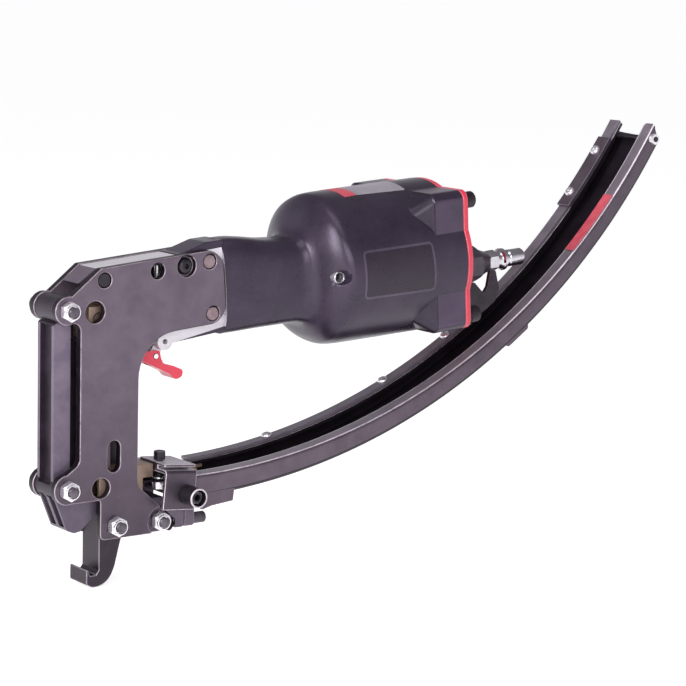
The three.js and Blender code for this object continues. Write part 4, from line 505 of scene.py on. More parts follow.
def rounded(corners: Sequence[Sequence[float]], steps: int = 10) -> list[Flat]:
    """Round the corners of an outline.

    Args:
        corners: Corners as (across, up, radius).
        steps: Steps in each rounded corner.

    Returns:
        The outline's points.
    """
    points: list[Flat] = []
    count = len(corners)
    for i, (a, b, radius) in enumerate(corners):
        here = Vector((a, b))
        if not radius:
            points.append((a, b))
            continue
        back = Vector(corners[i - 1][:2]) - here
        ahead = Vector(corners[(i + 1) % count][:2]) - here
        side = min(back.length, ahead.length)
        back.normalize()
        ahead.normalize()
        half = math.acos(max(-1.0, min(1.0, back.dot(ahead)))) / 2
        run = min(radius / math.tan(half), side * 0.95)
        true = run * math.tan(half)
        centre = here + (back + ahead).normalized() * (true / math.sin(half))
        start = here + back * run - centre
        stop = here + ahead * run - centre
        turn = math.atan2(start.x * stop.y - start.y * stop.x, start.dot(stop))
        for k in range(steps + 1):
            angle = turn * k / steps
            c, s = math.cos(angle), math.sin(angle)
            spot = centre + Vector((start.x * c - start.y * s, start.x * s + start.y * c))
            points.append((spot.x, spot.y))
    return points


def circle(a: float, b: float, radius: float, sides: int = FINE, turn: float = 0.0) -> list[Flat]:
    """Points of a circle or regular polygon, the first of them turned by an angle in radians."""
    angles = [turn + 2 * math.pi * k / sides for k in range(sides)]
    return [(a + radius * math.cos(t), b + radius * math.sin(t)) for t in angles]


def make(name: str, bm: bmesh.types.BMesh) -> Obj:
    """Close a mesh under construction, and put it into the scene.

    Args:
        name: The object's name.
        bm: The mesh, which is used up.

    Returns:
        The new object.
    """
    bmesh.ops.remove_doubles(bm, verts=bm.verts, dist=TOUCH)
    bmesh.ops.recalc_face_normals(bm, faces=bm.faces)
    mesh = bpy.data.meshes.new(name)
    bm.to_mesh(mesh)
    bm.free()
    obj = bpy.data.objects.new(name, mesh)
    bpy.context.scene.collection.objects.link(obj)
    return obj


def prism(name: str, points: Sequence[Flat], low: float, high: float, axis: Axis = Axis.Y) -> Obj:
    """Push an outline along an axis, from one depth to another.

    Args:
        name: The object's name.
        points: The outline.
        low: Where it starts.
        high: Where it ends.
        axis: The direction.

    Returns:
        The closed prism.
    """
    bm = bmesh.new()
    base = [bm.verts.new(axis.place(a, b, low)) for a, b in points]
    top = [bm.verts.new(axis.place(a, b, high)) for a, b in points]
    bm.faces.new(base)
    bm.faces.new(top[::-1])
    for i in range(len(base)):
        bm.faces.new((base[i - 1], base[i], top[i], top[i - 1]))
    return make(name, bm)


def bar(name: str, place: Flat, radius: float, low: float, high: float, axis: Axis = Axis.Y) -> Obj:
    """A round bar along an axis; the arguments are those of prism, with a place and a radius."""
    return prism(name, circle(*place, radius), low, high, axis)


def loft(name: str, rings: Sequence[Sequence[Vector]]) -> Obj:
    """Skin rings of the same number of points, and close both ends.

    Args:
        name: The object's name.
        rings: The rings in order, in metres.

    Returns:
        The closed form.
    """
    bm = bmesh.new()
    rows = [[bm.verts.new(p) for p in ring] for ring in rings]
    for one, two in zip(rows, rows[1:]):
        for k in range(len(one)):
            bm.faces.new((one[k - 1], one[k], two[k], two[k - 1]))
    bm.faces.new(rows[0])
    bm.faces.new(rows[-1][::-1])
    return make(name, bm)


def turned(name: str, profile: Sequence[Flat], place: Matrix, sides: int = FINE) -> Obj:
    """Turn a profile about X, as on a lathe, and put it in place.

    Args:
        name: The object's name.
        profile: Points as (along, radius), closed on itself unless it meets the axis.
        place: Where the axis lies, with its shift in metres.
        sides: Facets round the axis.

    Returns:
        The turned form.
    """
    bm = bmesh.new()
    rings = []
    for along, radius in profile:
        if radius < 1e-6:
            rings.append([bm.verts.new((along * MM, 0, 0))] * sides)
            continue
        spots = circle(0, 0, radius, sides)
        rings.append([bm.verts.new((along * MM, y * MM, z * MM)) for y, z in spots])
    open_ended = profile[0][1] < 1e-6 and profile[-1][1] < 1e-6
    pairs = list(zip(rings, rings[1:]))
    if not open_ended:
        pairs.append((rings[-1], rings[0]))
    for one, two in pairs:
        for k in range(sides):
            corners = list(dict.fromkeys((one[k - 1], one[k], two[k], two[k - 1])))
            if len(corners) > 2:
                bm.faces.new(corners)
    obj = make(name, bm)
    obj.data.transform(place)
    return obj


def bake(obj: Obj) -> Obj:
    """Turn an object's modifiers into plain mesh.

    Args:
        obj: The object.

    Returns:
        The same object, with no modifier left.
    """
    bpy.context.view_layer.update()
    graph = bpy.context.evaluated_depsgraph_get()
    mesh = bpy.data.meshes.new_from_object(obj.evaluated_get(graph), depsgraph=graph)
    old = obj.data
    obj.modifiers.clear()
    obj.data = mesh
    bpy.data.meshes.remove(old)
    return obj


def work(obj: Obj, others: Iterable[Obj], how: Work) -> Obj:
    """Work on an object with others, which are used up.

    Args:
        obj: The workpiece.
        others: The other bodies.
        how: What is done with them.

    Returns:
        The workpiece as plain mesh.
    """
    used = list(others)
    for other in used:
        step = obj.modifiers.new(how.name, "BOOLEAN")
        step.operation = how.value
        step.solver = "EXACT"
        step.object = other
    bake(obj)
    for other in used:
        bpy.data.objects.remove(other)
    return obj


def cut(obj: Obj, *others: Obj) -> Obj:
    """Take the other bodies out of a workpiece."""
    return work(obj, others, Work.CUT)


def join(obj: Obj, *others: Obj) -> Obj:
    """Make one body of several."""
    return work(obj, others, Work.JOIN)


def gather(obj: Obj, *others: Obj) -> Obj:
    """Put separate bodies into one object without joining their skins.

    Args:
        obj: The object that stays.
        others: Objects whose meshes move into it.

    Returns:
        The object that stays.
    """
    bm = bmesh.new()
    bm.from_mesh(obj.data)
    for other in others:
        bm.from_mesh(other.data)
        bpy.data.objects.remove(other)
    bm.to_mesh(obj.data)
    bm.free()
    return obj


def paint(obj: Obj, *finishes: Finish) -> Obj:
    """Give an object its finishes.

    Args:
        obj: The object.
        finishes: One finish for each material slot.

    Returns:
        The same object.
    """
    obj.data.materials.clear()
    for finish in finishes:
        obj.data.materials.append(finish.material())
    return obj


def dress(obj: Obj, rule: Callable[[Face], int]) -> Obj:
    """Choose the material slot of every face.

    Args:
        obj: The object.
        rule: Gives a face's slot.

    Returns:
        The same object.
    """
    for face in obj.data.polygons:
        face.material_index = rule(face)
    return obj


def flatten(obj: Obj) -> Obj:
    """Dissolve the seams that cutting leaves across flat faces.

    Args:
        obj: The object.

    Returns:
        The same object.
    """
    bm = bmesh.new()
    bm.from_mesh(obj.data)
    bmesh.ops.remove_doubles(bm, verts=bm.verts, dist=2e-6)
    bmesh.ops.dissolve_limit(bm, angle_limit=math.radians(0.6), verts=bm.verts, edges=bm.edges)
    bm.to_mesh(obj.data)
    bm.free()
    return obj


def smooth(obj: Obj, angle: float = 40.0) -> Obj:
    """Shade smoothly, with creases at sharp edges and flat faces kept flat.

    Args:
        obj: The object.
        angle: Edges sharper than this many degrees stay creased.

    Returns:
        The same object.
    """
    obj.data.shade_smooth()
    obj.data.set_sharp_from_angle(angle=math.radians(angle))
    obj.modifiers.new("even", "WEIGHTED_NORMAL").keep_sharp = True
    return bake(obj)


def soften(
    obj: Obj, width: float, slot: int = -1, segments: int = 2, angle: float = 38.0, clamp: bool = True
) -> Obj:
    """Round an object's sharp edges a little, then shade it.

    Args:
        obj: The object.
        width: Width of the rounding.
        slot: Material slot of the rounded edges, or -1.
        segments: Steps across the rounding.
        angle: Edges sharper than this many degrees are rounded.
        clamp: Whether the rounding gives way where edges are short.

    Returns:
        The same object.
    """
    flatten(obj)
    edge = obj.modifiers.new("edge", "BEVEL")
    edge.width = width * MM
    edge.segments = segments
    edge.limit_method = "ANGLE"
    edge.angle_limit = math.radians(angle)
    edge.use_clamp_overlap = clamp
    edge.material = slot
    bake(obj)
    return smooth(obj, 52.0)


def mount(obj: Obj, slot: str, *nodes: str, body: str = "frame") -> Obj:
    """Fix a finished piece to its body, hide the CAD nodes that it replaces, and log its size.

    Args:
        obj: The finished piece.
        slot: The record's material slot; not used.
        nodes: CAD nodes that it replaces.
        body: The body that carries it.

    Returns:
        The piece.
    """
    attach(obj, body)
    if nodes:
        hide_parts(*nodes)
    LOG.info("%s: %d faces on %s", obj.name, len(obj.data.polygons), body)
    return obj


# ---------------------------------------------------------------- geometry nodes


def sum_of(tree: Tree, operation: str, one: object, two: object) -> Socket:
    """Add one math node to a tree, and give its result."""
    return add_node(tree, "ShaderNodeMath", {"operation": operation}, {0: one, 1: two}).outputs[0]


class ShopTree:
    """A geometry node tree with named inputs, which ends in plain mesh of one finish."""

    def __init__(self, name: str, *sizes: str, **others: str) -> None:
        """Start the tree.

        Args:
            name: Name of the tree.
            sizes: Names of the inputs that are plain numbers.
            others: Socket types of the other inputs by name.
        """
        self.tree = bpy.data.node_groups.new(name, "GeometryNodeTree")
        self.keys: dict[str, str] = {}
        face = self.tree.interface
        face.new_socket("Geometry", in_out="INPUT", socket_type="NodeSocketGeometry")
        face.new_socket("Geometry", in_out="OUTPUT", socket_type="NodeSocketGeometry")
        others["Finish"] = "NodeSocketMaterial"
        for label, kind in {**dict.fromkeys(sizes, "NodeSocketFloat"), **others}.items():
            socket = face.new_socket(label, in_out="INPUT", socket_type=kind)
            self.keys[label] = socket.identifier
        self.start = self.tree.nodes.new("NodeGroupInput")

    def add(self, kind: str, settings: dict | None = None, **inputs: object) -> bpy.types.Node:
        """Add a node; an input's name is written with underscores for spaces."""
        named = {key.replace("_", " "): value for key, value in inputs.items()}
        return add_node(self.tree, kind, settings, named)

    def math(self, operation: str, one: object, two: object = 0.0) -> Socket:
        """Add one sum, and give its result."""
        return sum_of(self.tree, operation, one, two)

    def take(self, label: str) -> Socket:
        """The tree's own input of this name."""
        return self.start.outputs[label]

    def end(self, geometry: Socket) -> ShopTree:
        """Close the tree with real geometry in one finish.

        Args:
            geometry: What the tree has made.

        Returns:
            The closed tree.
        """
        real = self.add("GeometryNodeRealizeInstances", Geometry=geometry)
        finish = self.take("Finish")
        dressed = self.add("GeometryNodeSetMaterial", Geometry=real.outputs[0], Material=finish)
        out = self.tree.nodes.new("NodeGroupOutput")
        self.tree.links.new(dressed.outputs[0], out.inputs[0])
        return self

    def run(self, obj: Obj, finish: Finish, **values: object) -> Obj:
        """Run the tree on an object, and keep the result as plain mesh.

        Args:
            obj: The object that carries the input geometry.
            finish: What the result is made of.
            values: Values by the input's name, with underscores for spaces.

        Returns:
            The same object.
        """
        step = obj.modifiers.new(self.tree.name, "NODES")
        step.node_group = self.tree
        step[self.keys["Finish"]] = finish.material()
        for key, value in values.items():
            step[self.keys[key.replace("_", " ")]] = value
        return bake(obj)


def bend_tree() -> ShopTree:
    """Build the tree that lays a straight piece along the magazine's arc.

    Returns:
        The closed tree.
    """
    shop = ShopTree("along_the_arc", "Radius", "Centre X", "Centre Z")
    spot = shop.add("ShaderNodeSeparateXYZ", Vector=shop.add("GeometryNodeInputPosition").outputs[0])
    angle = shop.math("DIVIDE", spot.outputs["X"], shop.take("Radius"))
    reach = shop.math("SUBTRACT", shop.take("Radius"), spot.outputs["Z"])
    aside = shop.math("MULTIPLY", reach, shop.math("SINE", angle))
    down = shop.math("MULTIPLY", reach, shop.math("COSINE", angle))
    place = shop.add(
        "ShaderNodeCombineXYZ",
        X=shop.math("ADD", shop.take("Centre X"), aside),
        Y=spot.outputs["Y"],
        Z=shop.math("SUBTRACT", shop.take("Centre Z"), down),
    )
    straight = shop.take("Geometry")
    bent = shop.add("GeometryNodeSetPosition", Geometry=straight, Position=place.outputs[0])
    return shop.end(bent.outputs[0])


def fastener_tree() -> ShopTree:
    """Build the tree that sets one fastener on every point, along the point's own axis.

    Returns:
        The closed tree.
    """
    shop = ShopTree("fasteners", Pattern="NodeSocketObject")
    axis = shop.add("GeometryNodeInputNamedAttribute", {"data_type": "FLOAT_VECTOR"}, Name="axis")
    turn = shop.add("FunctionNodeAlignRotationToVector", {"axis": "X"}, Vector=axis.outputs[0])
    pattern = shop.add("GeometryNodeObjectInfo", Object=shop.take("Pattern"))
    set_in = shop.add(
        "GeometryNodeInstanceOnPoints",
        Points=shop.take("Geometry"),
        Instance=pattern.outputs["Geometry"],
        Rotation=turn.outputs[0],
    )
    return shop.end(set_in.outputs[0])


def rib_tree() -> ShopTree:
    """Build the tree that sets straight ribs round an axis along X, as on a knurled head.

    Returns:
        The closed tree.
    """
    sizes = ("Radius", "Rib Radius", "Length")
    shop = ShopTree("ribs", *sizes, Count="NodeSocketInt")
    count, radius, thin, long = (shop.take(label) for label in ("Count", *sizes))
    ring = shop.add("GeometryNodeMeshCircle", Vertices=count, Radius=radius).outputs[0]
    rib = shop.add("GeometryNodeMeshCylinder", Vertices=10, Radius=thin, Depth=long).outputs[0]
    ribs = shop.add("GeometryNodeInstanceOnPoints", Points=ring, Instance=rib).outputs[0]
    both = shop.tree.nodes.new("GeometryNodeJoinGeometry")
    lie = shop.add("GeometryNodeTransform", Geometry=ribs, Rotation=(0, math.pi / 2, 0))
    shop.tree.links.new(shop.take("Geometry"), both.inputs[0])
    shop.tree.links.new(lie.outputs[0], both.inputs[0])
    return shop.end(both.outputs[0])


def coil_tree() -> ShopTree:
    """Build the tree that winds a round wire into an upright coil spring.

    Returns:
        The closed tree.
    """
    sizes = ("Turns", "Radius", "Height", "Wire")
    shop = ShopTree("coil", *sizes)
    turns, radius, height, thick = (shop.take(label) for label in sizes)
    line = shop.add(
        "GeometryNodeCurveSpiral",
        Resolution=28,
        Rotations=turns,
        Start_Radius=radius,
        End_Radius=radius,
        Height=height,
    )
    wire = shop.add("GeometryNodeCurvePrimitiveCircle", Resolution=12, Radius=thick)
    tube = shop.tree.nodes.new("GeometryNodeCurveToMesh")
    shop.tree.links.new(line.outputs[0], tube.inputs["Curve"])
    shop.tree.links.new(wire.outputs[0], tube.inputs["Profile Curve"])
    tube.inputs["Fill Caps"].default_value = True
    return shop.end(tube.outputs[0])


def points(name: str, spots: Sequence[Spot]) -> Obj:
    """Points for fasteners.

    Args:
        name: Name of the piece that they become.
        spots: A place in millimetres and an axis for each.

    Returns:
        An object of loose points that carry their axes.
    """
    mesh = bpy.data.meshes.new(name)
    mesh.from_pydata([Vector(p) * MM for p, _ in spots], [], [])
    axis = mesh.attributes.new("axis", "FLOAT_VECTOR", "POINT")
    for i, (_, way) in enumerate(spots):
        axis.data[i].vector = Vector(way)
    obj = bpy.data.objects.new(name, mesh)
    bpy.context.scene.collection.objects.link(obj)
    return obj


class Head(Enum):
    """The form of a screw's head."""

    KNURLED = "knurled"
    DOMED = "domed"


class Fasteners:
    """Patterns of the tool's fasteners along X, with the seat at the origin, and where they go."""

    KNURLS = 72
    KNURL_DEPTH = 0.14

    def __init__(self) -> None:
        """Build the tree once."""
        self.shop = fastener_tree()

    def set_in(
        self, name: str, pattern: Obj, finish: Finish, spots: Sequence[Spot], slot: str, *nodes: str
    ) -> None:
        """Set a pattern at every spot, and mount them all as one piece.

        Args:
            name: Name of the finished piece.
            pattern: The fastener, which is used up.
            finish: Its finish.
            spots: Places and axes.
            slot: The record's material slot.
            nodes: CAD nodes that it replaces.
        """
        obj = points(name, spots)
        self.shop.run(obj, finish, Pattern=pattern)
        bpy.data.objects.remove(pattern)
        mount(smooth(obj, 42.0), slot, *nodes)

    def hexagon(self, across: float, height: float, chamfer: float = 0.5) -> Obj:
        """A hexagon whose corners are turned off at both faces.

        Args:
            across: Width across its flats.
            height: Its height.
            chamfer: How far down the corners are turned off.

        Returns:
            The hexagon.
        """
        reach, face = across / math.sqrt(3), across / 2 - 0.1
        blank = prism("hexagon", circle(0, 0, reach, 6, math.pi / 6), 0, height, Axis.X)
        profile = [
            (0, 0), (0, face), (chamfer, reach), (height - chamfer, reach), (height, face),
            (height, 0),
        ]
        return work(blank, [turned("turn", profile, Matrix())], Work.SHARE)

    def lock_nut(self, across: float, hexagon: float, collar: float, rise: float, hole: float) -> Obj:
        """A locking nut: a hexagon, and a round collar that holds the nylon ring.

        Args:
            across: Width across its flats.
            hexagon: Height of the hexagon.
            collar: Radius of the collar.
            rise: Height of the collar.
            hole: Radius of the hole.

        Returns:
            The nut.
        """
        top = hexagon + rise
        ring = [
            (hexagon - 0.5, hole), (hexagon - 0.5, collar), (top - 0.6, collar),
            (top - 0.15, collar - 0.15), (top, collar - 0.5), (top, 3.75), (top - 0.3, 3.55),
            (top - 1.6, 3.55), (top - 1.6, hole),
        ]
        body = join(self.hexagon(across, hexagon), turned("collar", ring, Matrix(), 40))
        return cut(body, bar("hole", (0, 0), hole, -1, top + 1, Axis.X))

    def thread(self, radius: float, start: float, end: float, pitch: float = 0.8) -> Obj:
        """A threaded shank with a chamfered end.

        Args:
            radius: Its radius.
            start: Where it starts.
            end: Where it ends.
            pitch: Length of one turn.

        Returns:
            The threaded shank.
        """
        profile = [(start, 0.0), (start, radius)]
        along = start
        while along < end - 1.2 * pitch:
            profile += [(along + 0.5 * pitch, radius * 0.9), (along + pitch, radius)]
            along += pitch
        profile += [(end - 0.35, radius * 0.9), (end, radius * 0.74), (end, 0.0)]
        return turned("thread", profile, Matrix(), 32)

    def knurled(self, radius: float, height: float) -> Obj:
        """A round head with a knurled rim, turned off at its edges.

        Args:
            radius: Its radius.
            height: Its height.

        Returns:
            The head.
        """
        rim = []
        for k in range(self.KNURLS):
            angle = 2 * math.pi * k / self.KNURLS
            far = radius - (self.KNURL_DEPTH if k % 2 else 0.0)
            rim.append((far * math.cos(angle), far * math.sin(angle)))
        profile = [
            (0, 0), (0, radius - 0.35), (0.35, radius), (height - 0.7, radius),
            (height, radius - 0.7), (height, 0),
        ]
        blank = prism("head", rim, 0, height, Axis.X)
        return work(blank, [turned("turn", profile, Matrix(), self.KNURLS)], Work.SHARE)

    def domed(self, radius: float, height: float) -> Obj:
        """A low domed head.

        Args:
            radius: Its radius.
            height: Its height.

        Returns:
            The head.
        """
        turns = [i * math.pi / 16 for i in range(9)]
        arc = [(height * math.sin(t), radius * (0.42 + 0.58 * math.cos(t))) for t in turns]
        return turned("dome", [(0, 0), *arc, (height, 0)], Matrix())

    def screw(
        self, head: Head, radius: float, height: float, socket: float, shank: float, reach: float
    ) -> Obj:
        """A screw with a hexagon socket, and its shank behind the seat.

        Args:
            head: The form of the head.
            radius: Radius of the head.
            height: Height of the head.
            socket: Radius of its socket.
            shank: Radius of the shank.
            reach: Length of the shank.

        Returns:
            The screw.
        """
        if head is Head.KNURLED:
            top, floor, turn = self.knurled(radius, height), 0.45, 0.0
        else:
            top, floor, turn = self.domed(radius, height), 0.35, 0.3
        cut(top, prism("key", circle(0, 0, socket, 6, turn), height * floor, height + 1, Axis.X))
        profile = [(-reach, 0), (-reach, shank), (0.2, shank), (0.2, 0)]
        return gather(top, turned("shank", profile, Matrix(), 32))


# ---------------------------------------------------------------- sub-assemblies


@dataclass
class Arm:
    """The arm's own axes, which rise to the rear from its dowels."""

    rise: float = math.radians(5.1)
    x: float = 74.55
    z: float = 160.3

    def at(self, along: float, up: float) -> Flat:
        """A place given along and across the arm."""
        c, s = math.cos(self.rise), math.sin(self.rise)
        return (self.x + along * c - up * s, self.z + along * s + up * c)


ARM = Arm()
FULCRUM = ARM.at(-69.8, 14.8)
UPPER_DOWEL = ARM.at(0, 15.15)
LOWER_DOWEL = ARM.at(0, -15.15)
BUTTON = ARM.at(-15.8, 14.8)
STOP_HOLE = ARM.at(-35.1, 14.8)
BARREL_RISE = math.radians(4.3)
BARREL_AT = (74.55, 157.9)
BARREL = shift(BARREL_AT[0], 0, BARREL_AT[1]) @ Matrix.Rotation(-BARREL_RISE, 4, "Y")
TO_FAR = Matrix.Rotation(math.pi / 2, 4, "Z")
TO_NEAR = Matrix.Rotation(-math.pi / 2, 4, "Z")
EARS = ((-19.5, 153.2), (-19.0, 52.5))
ANVIL_BOLT = (12.1, 28.7)
ROOT_BOLT = (42.4, 27.6)
BOLT_HOLE = 3.3
TRIGGER_EAR = (47.0, 130.5)
TRIGGER_PIVOT = (43.0, 122.0)
PORT_AT = (74.9, 0.9)


def to_barrel(place: Flat) -> Flat:
    """Turn a place of the frame into one along and across the barrel.

    Args:
        place: The place along X and Z.

    Returns:
        The place in the barrel's axes.
    """
    dx, dz = place[0] - BARREL_AT[0], place[1] - BARREL_AT[1]
    c, s = math.cos(BARREL_RISE), math.sin(BARREL_RISE)
    return (dx * c + dz * s, dz * c - dx * s)


def upright_slot(name: str, place: Flat, width: float, height: float, low: float, high: float) -> Obj:
    """A long cutter with round ends, upright.

    Args:
        name: Its name.
        place: Its middle.
        width: Its width.
        height: Its height.
        low: Where it starts across.
        high: Where it ends.

    Returns:
        The cutter.
    """
    (x, z), w, h = place, width / 2, height / 2
    shape = rounded([(x - w, z - h, w), (x + w, z - h, w), (x + w, z + h, w), (x - w, z + h, w)])
    return prism(name, shape, low, high)


@dataclass
class SidePlates:
    """The two cut steel plates that carry the whole tool."""

    inner: float = 9.6
    outer: float = 14.6
    edge: float = 0.45
    pin_hole: float = 4.45
    pocket: float = 1.5
    button_seat: float = 11.2
    root_seat: float = 12.1

    def outline(self) -> list[Flat]:
        """Draw the plate's outline without its ears.

        Returns:
            Its points along X and Z.
        """
        top, rear_top, rear_low = ARM.at(-71.5, 21.65), ARM.at(9.15, 21.65), ARM.at(9.15, -21)
        under = rear_low[1] - (rear_low[0] - 26.5) * math.tan(ARM.rise)
        return rounded([
            (-23.5, 155.9, 0), (*top, 1.5), (*rear_top, 11), (*rear_low, 11), (26.5, under, 26),
            (26.5, 50.2, 8), (51.5, 27.8, 4), (50.5, 21.1, 4), (2.2, 21.1, 3), (2.2, 44.3, 1.5),
            (-19, 44.3, 0), (-24.5, 57.5, 0), (-11.3, 66.5, 6), (-11.3, 146, 5), (-16.5, 146, 0),
        ])

    def build(self, side: int) -> None:
        """Cut, edge and mount one plate.

        Args:
            side: -1 for the near plate, 1 for the far one.
        """
        low, high = sorted((side * self.inner, side * self.outer))
        name = "near" if side < 0 else "far"
        plate = paint(prism(name + "_side_plate", self.outline(), low, high), PLATE, EDGE, CUT)
        join(plate, bar("ear", EARS[0], 8, low, high), bar("ear", EARS[1], 8.5, low, high))
        a, b = low - 1, high + 1
        holes = [bar("hole", p, self.pin_hole, a, b) for p in (FULCRUM, UPPER_DOWEL, LOWER_DOWEL)]
        holes += [bar("hole", p, BOLT_HOLE, a, b) for p in (*EARS, ANVIL_BOLT, ROOT_BOLT)]
        holes += [
            bar("access", (-2.3, 151.4), 6.25, a, b),
            bar("window", (2.5, 51.2), 5.8, a, b),
            bar("stop", STOP_HOLE, 4.6, a, b),
            bar("button", BUTTON, 2.9, a, b),
            upright_slot("slot", (10.7, 68.7), 8.4, 18.2, a, b if side < 0 else low + self.pocket),
            bar("recess", BUTTON, 6.2, *sorted((side * self.button_seat, side * 15.6))),
        ]
        if side < 0:
            holes.append(bar("recess", ROOT_BOLT, 8.5, a, -self.root_seat))
        cut(plate, *holes)
        dress(soften(plate, self.edge, slot=1, clamp=False), self.slot)
        mount(plate, "platesteel", name + "_plate")
        if side > 0:
            self.backing()

    def slot(self, face: Face) -> int:
        """Darken the cut sides, and the bevels that look to the rear or down, with painted shade.

        Args:
            face: A face of the softened plate.

        Returns:
            Its material slot.
        """
        if face.material_index == 0:
            return 2 if abs(face.normal.y) < 0.5 else 0
        behind = face.normal.x > 0.3 and face.center.x > 0.06
        under = face.normal.z < -0.3 and face.center.x > 0.03 and face.center.z > 0.11
        return 2 if behind or under else face.material_index

    def backing(self) -> None:
        """The dark piece before the far plate, a sheet of painted shade that keeps light out of the slot."""
        shape = rounded([(14.5, 57, 1), (25.8, 57, 1), (25.8, 82, 1), (14.5, 82, 1)])
        backing = paint(prism("guide_backing", shape, 1.5, 9.4), DEEP, DARK_EDGE)
        mount(soften(backing, 0.4, slot=1), "platesteel")


@dataclass
class FrontCover:
    """The casting that closes the front between the plates, with its groove and chin."""

    half: float = 9.0
    edge: float = 0.7
    groove_floor: float = -21.9
    groove_half: float = 6.3
    rib_half: float = 5.5
    boss: float = 7.5

    def build(self) -> None:
        """Cast, cut and mount the cover."""
        h, wide, thin = self.half, self.groove_half, self.rib_half
        shell = rounded([
            (-25.1, 146, 2), (-25.1, 50.3, 3), (-16.1, 27.8, 3), (-11.5, 26, 3), (-7.4, 26.7, 0),
            (2.9, 36, 0), (2.9, 46, 2), (-14.6, 46, 3), (-14.6, 146, 3),
        ])
        rib = [(-15.6, 50.3), (-0.8, 50.3), (-0.8, 84), (-4.2, 84), (-4.2, 134), (-15.6, 134)]
        cover = paint(prism("front_casting", shell, -h, h), CAST, CAST_EDGE, DEEP, GROOVE)
        join(cover, prism("rib", rib, -thin, thin), *[bar("boss", ear, self.boss, -h, h) for ear in EARS])
        floor = self.groove_floor
        groove = rounded([(-26.1, 53, 0), (floor, 54.5, 2.5), (floor, 143.5, 2.5), (-26.1, 145, 0)])
        pocket = [(-26.1, 48.5), (-21.6, 48.5), (-12.6, 29.6), (-19.6, 29.6)]
        cut(
            cover,
            prism("groove", groove, -wide, wide),
            prism("pocket", pocket, 1.6, h - 1.8),
            prism("pocket", pocket, 1.8 - h, -1.6),
            prism("lane", [(-0.8, 25), (4, 25), (4, 47), (-0.8, 47)], -7.3, 7.3),
            *[bar("bolt", ear, BOLT_HOLE, -h - 1, h + 1) for ear in EARS],
        )
        dress(soften(cover, self.edge, slot=1), self.slot)
        mount(cover, "casting", "front_cover")

    def slot(self, face: Face) -> int:
        """Give groove and bosses a darker finish as painted shade, and rib and pits a dark one as painted
        shade.

        Args:
            face: A face of the softened cover.

        Returns:
            Its material slot.
        """
        if face.material_index != 0:
            return face.material_index
        spot, side = face.center / MM, abs(face.normal.y) < 0.5
        wide = abs(spot.y)
        groove = -25.0 < spot.x < -21.0 and wide < self.groove_half + 0.1 and 52 < spot.z < 146
        boss = side and any(math.hypot(spot.x - x, spot.z - z) < self.boss + 0.2 for x, z in EARS)
        rib = spot.x > -15.4 and wide < self.rib_half + 0.1 and spot.z > 50
        pit = side and 1.5 < wide < self.half - 1.7 and spot.z < 49 and -22 < spot.x < -12
        if groove or boss:
            return 3
        return 2 if rib or pit else 0


@dataclass
class TopBlock:
    """The milled block on the arm's front, dark outside with a raw bright top."""

    half: float = 8.8
    thick: float = 4.35
    end: float = 53.4
    hub: float = 7.6

    def build(self) -> None:
        """Mill and mount the block, with the stop pin that hangs under it."""
        h, hub, thick = self.half, self.hub, self.thick
        top = ARM.at(-71.5, 21.25)
        rise = math.tan(ARM.rise)
        rear = top[1] + (self.end - top[0]) * rise
        shape = rounded([
            (-10.2, 167.3, 0), (*top, 1.5), (self.end, rear, 0), (self.end, rear - thick, 0),
            (top[0] + 9, top[1] - thick + 9 * rise, 0), (-1.2, 166.9, 0),
        ])
        block = prism("top_block_milled", shape, -h, h)
        lean = math.radians(74)
        along = Vector((math.sin(lean), -math.cos(lean)))
        up = Vector((-along.y, along.x)) * 5.9
        start = Vector(FULCRUM)
        end = start + along * 23.6
        pocket = [tuple(start + up), tuple(end + up), tuple(end - up), tuple(start - up)]
        cut(
            block,
            prism("pocket", pocket, -hub, hub),
            bar("hub", FULCRUM, 5.9, -hub, hub),
            bar("pin", FULCRUM, 4.3, -h - 1, h + 1),
        )
        paint(block, PLATE, EDGE, RAW, SLOPE)
        dress(soften(block, 0.4, slot=1), self.slot)
        pin = turned(
            "stop_pin",
            [(0, 0), (0, 1.3), (0.2, 1.5), (10, 1.5), (10, 0)],
            shift(43.2, -5.6, 164.4) @ Matrix.Rotation(-math.pi / 2, 4, "Y"),
            32,
        )
        mount(block, "aluminium", "top_block")
        mount(smooth(paint(pin, ZINC)), "zinc")

    def slot(self, face: Face) -> int:
        """Leave the top raw, and lighten the slope before it with a painted highlight.

        Args:
            face: A face of the softened block.

        Returns:
            Its material slot.
        """
        if face.material_index == 0 and face.normal.z > 0.9:
            return 2
        slope = face.normal.z > 0.3 and face.normal.x < -0.3
        return 3 if face.material_index == 0 and slope else face.material_index


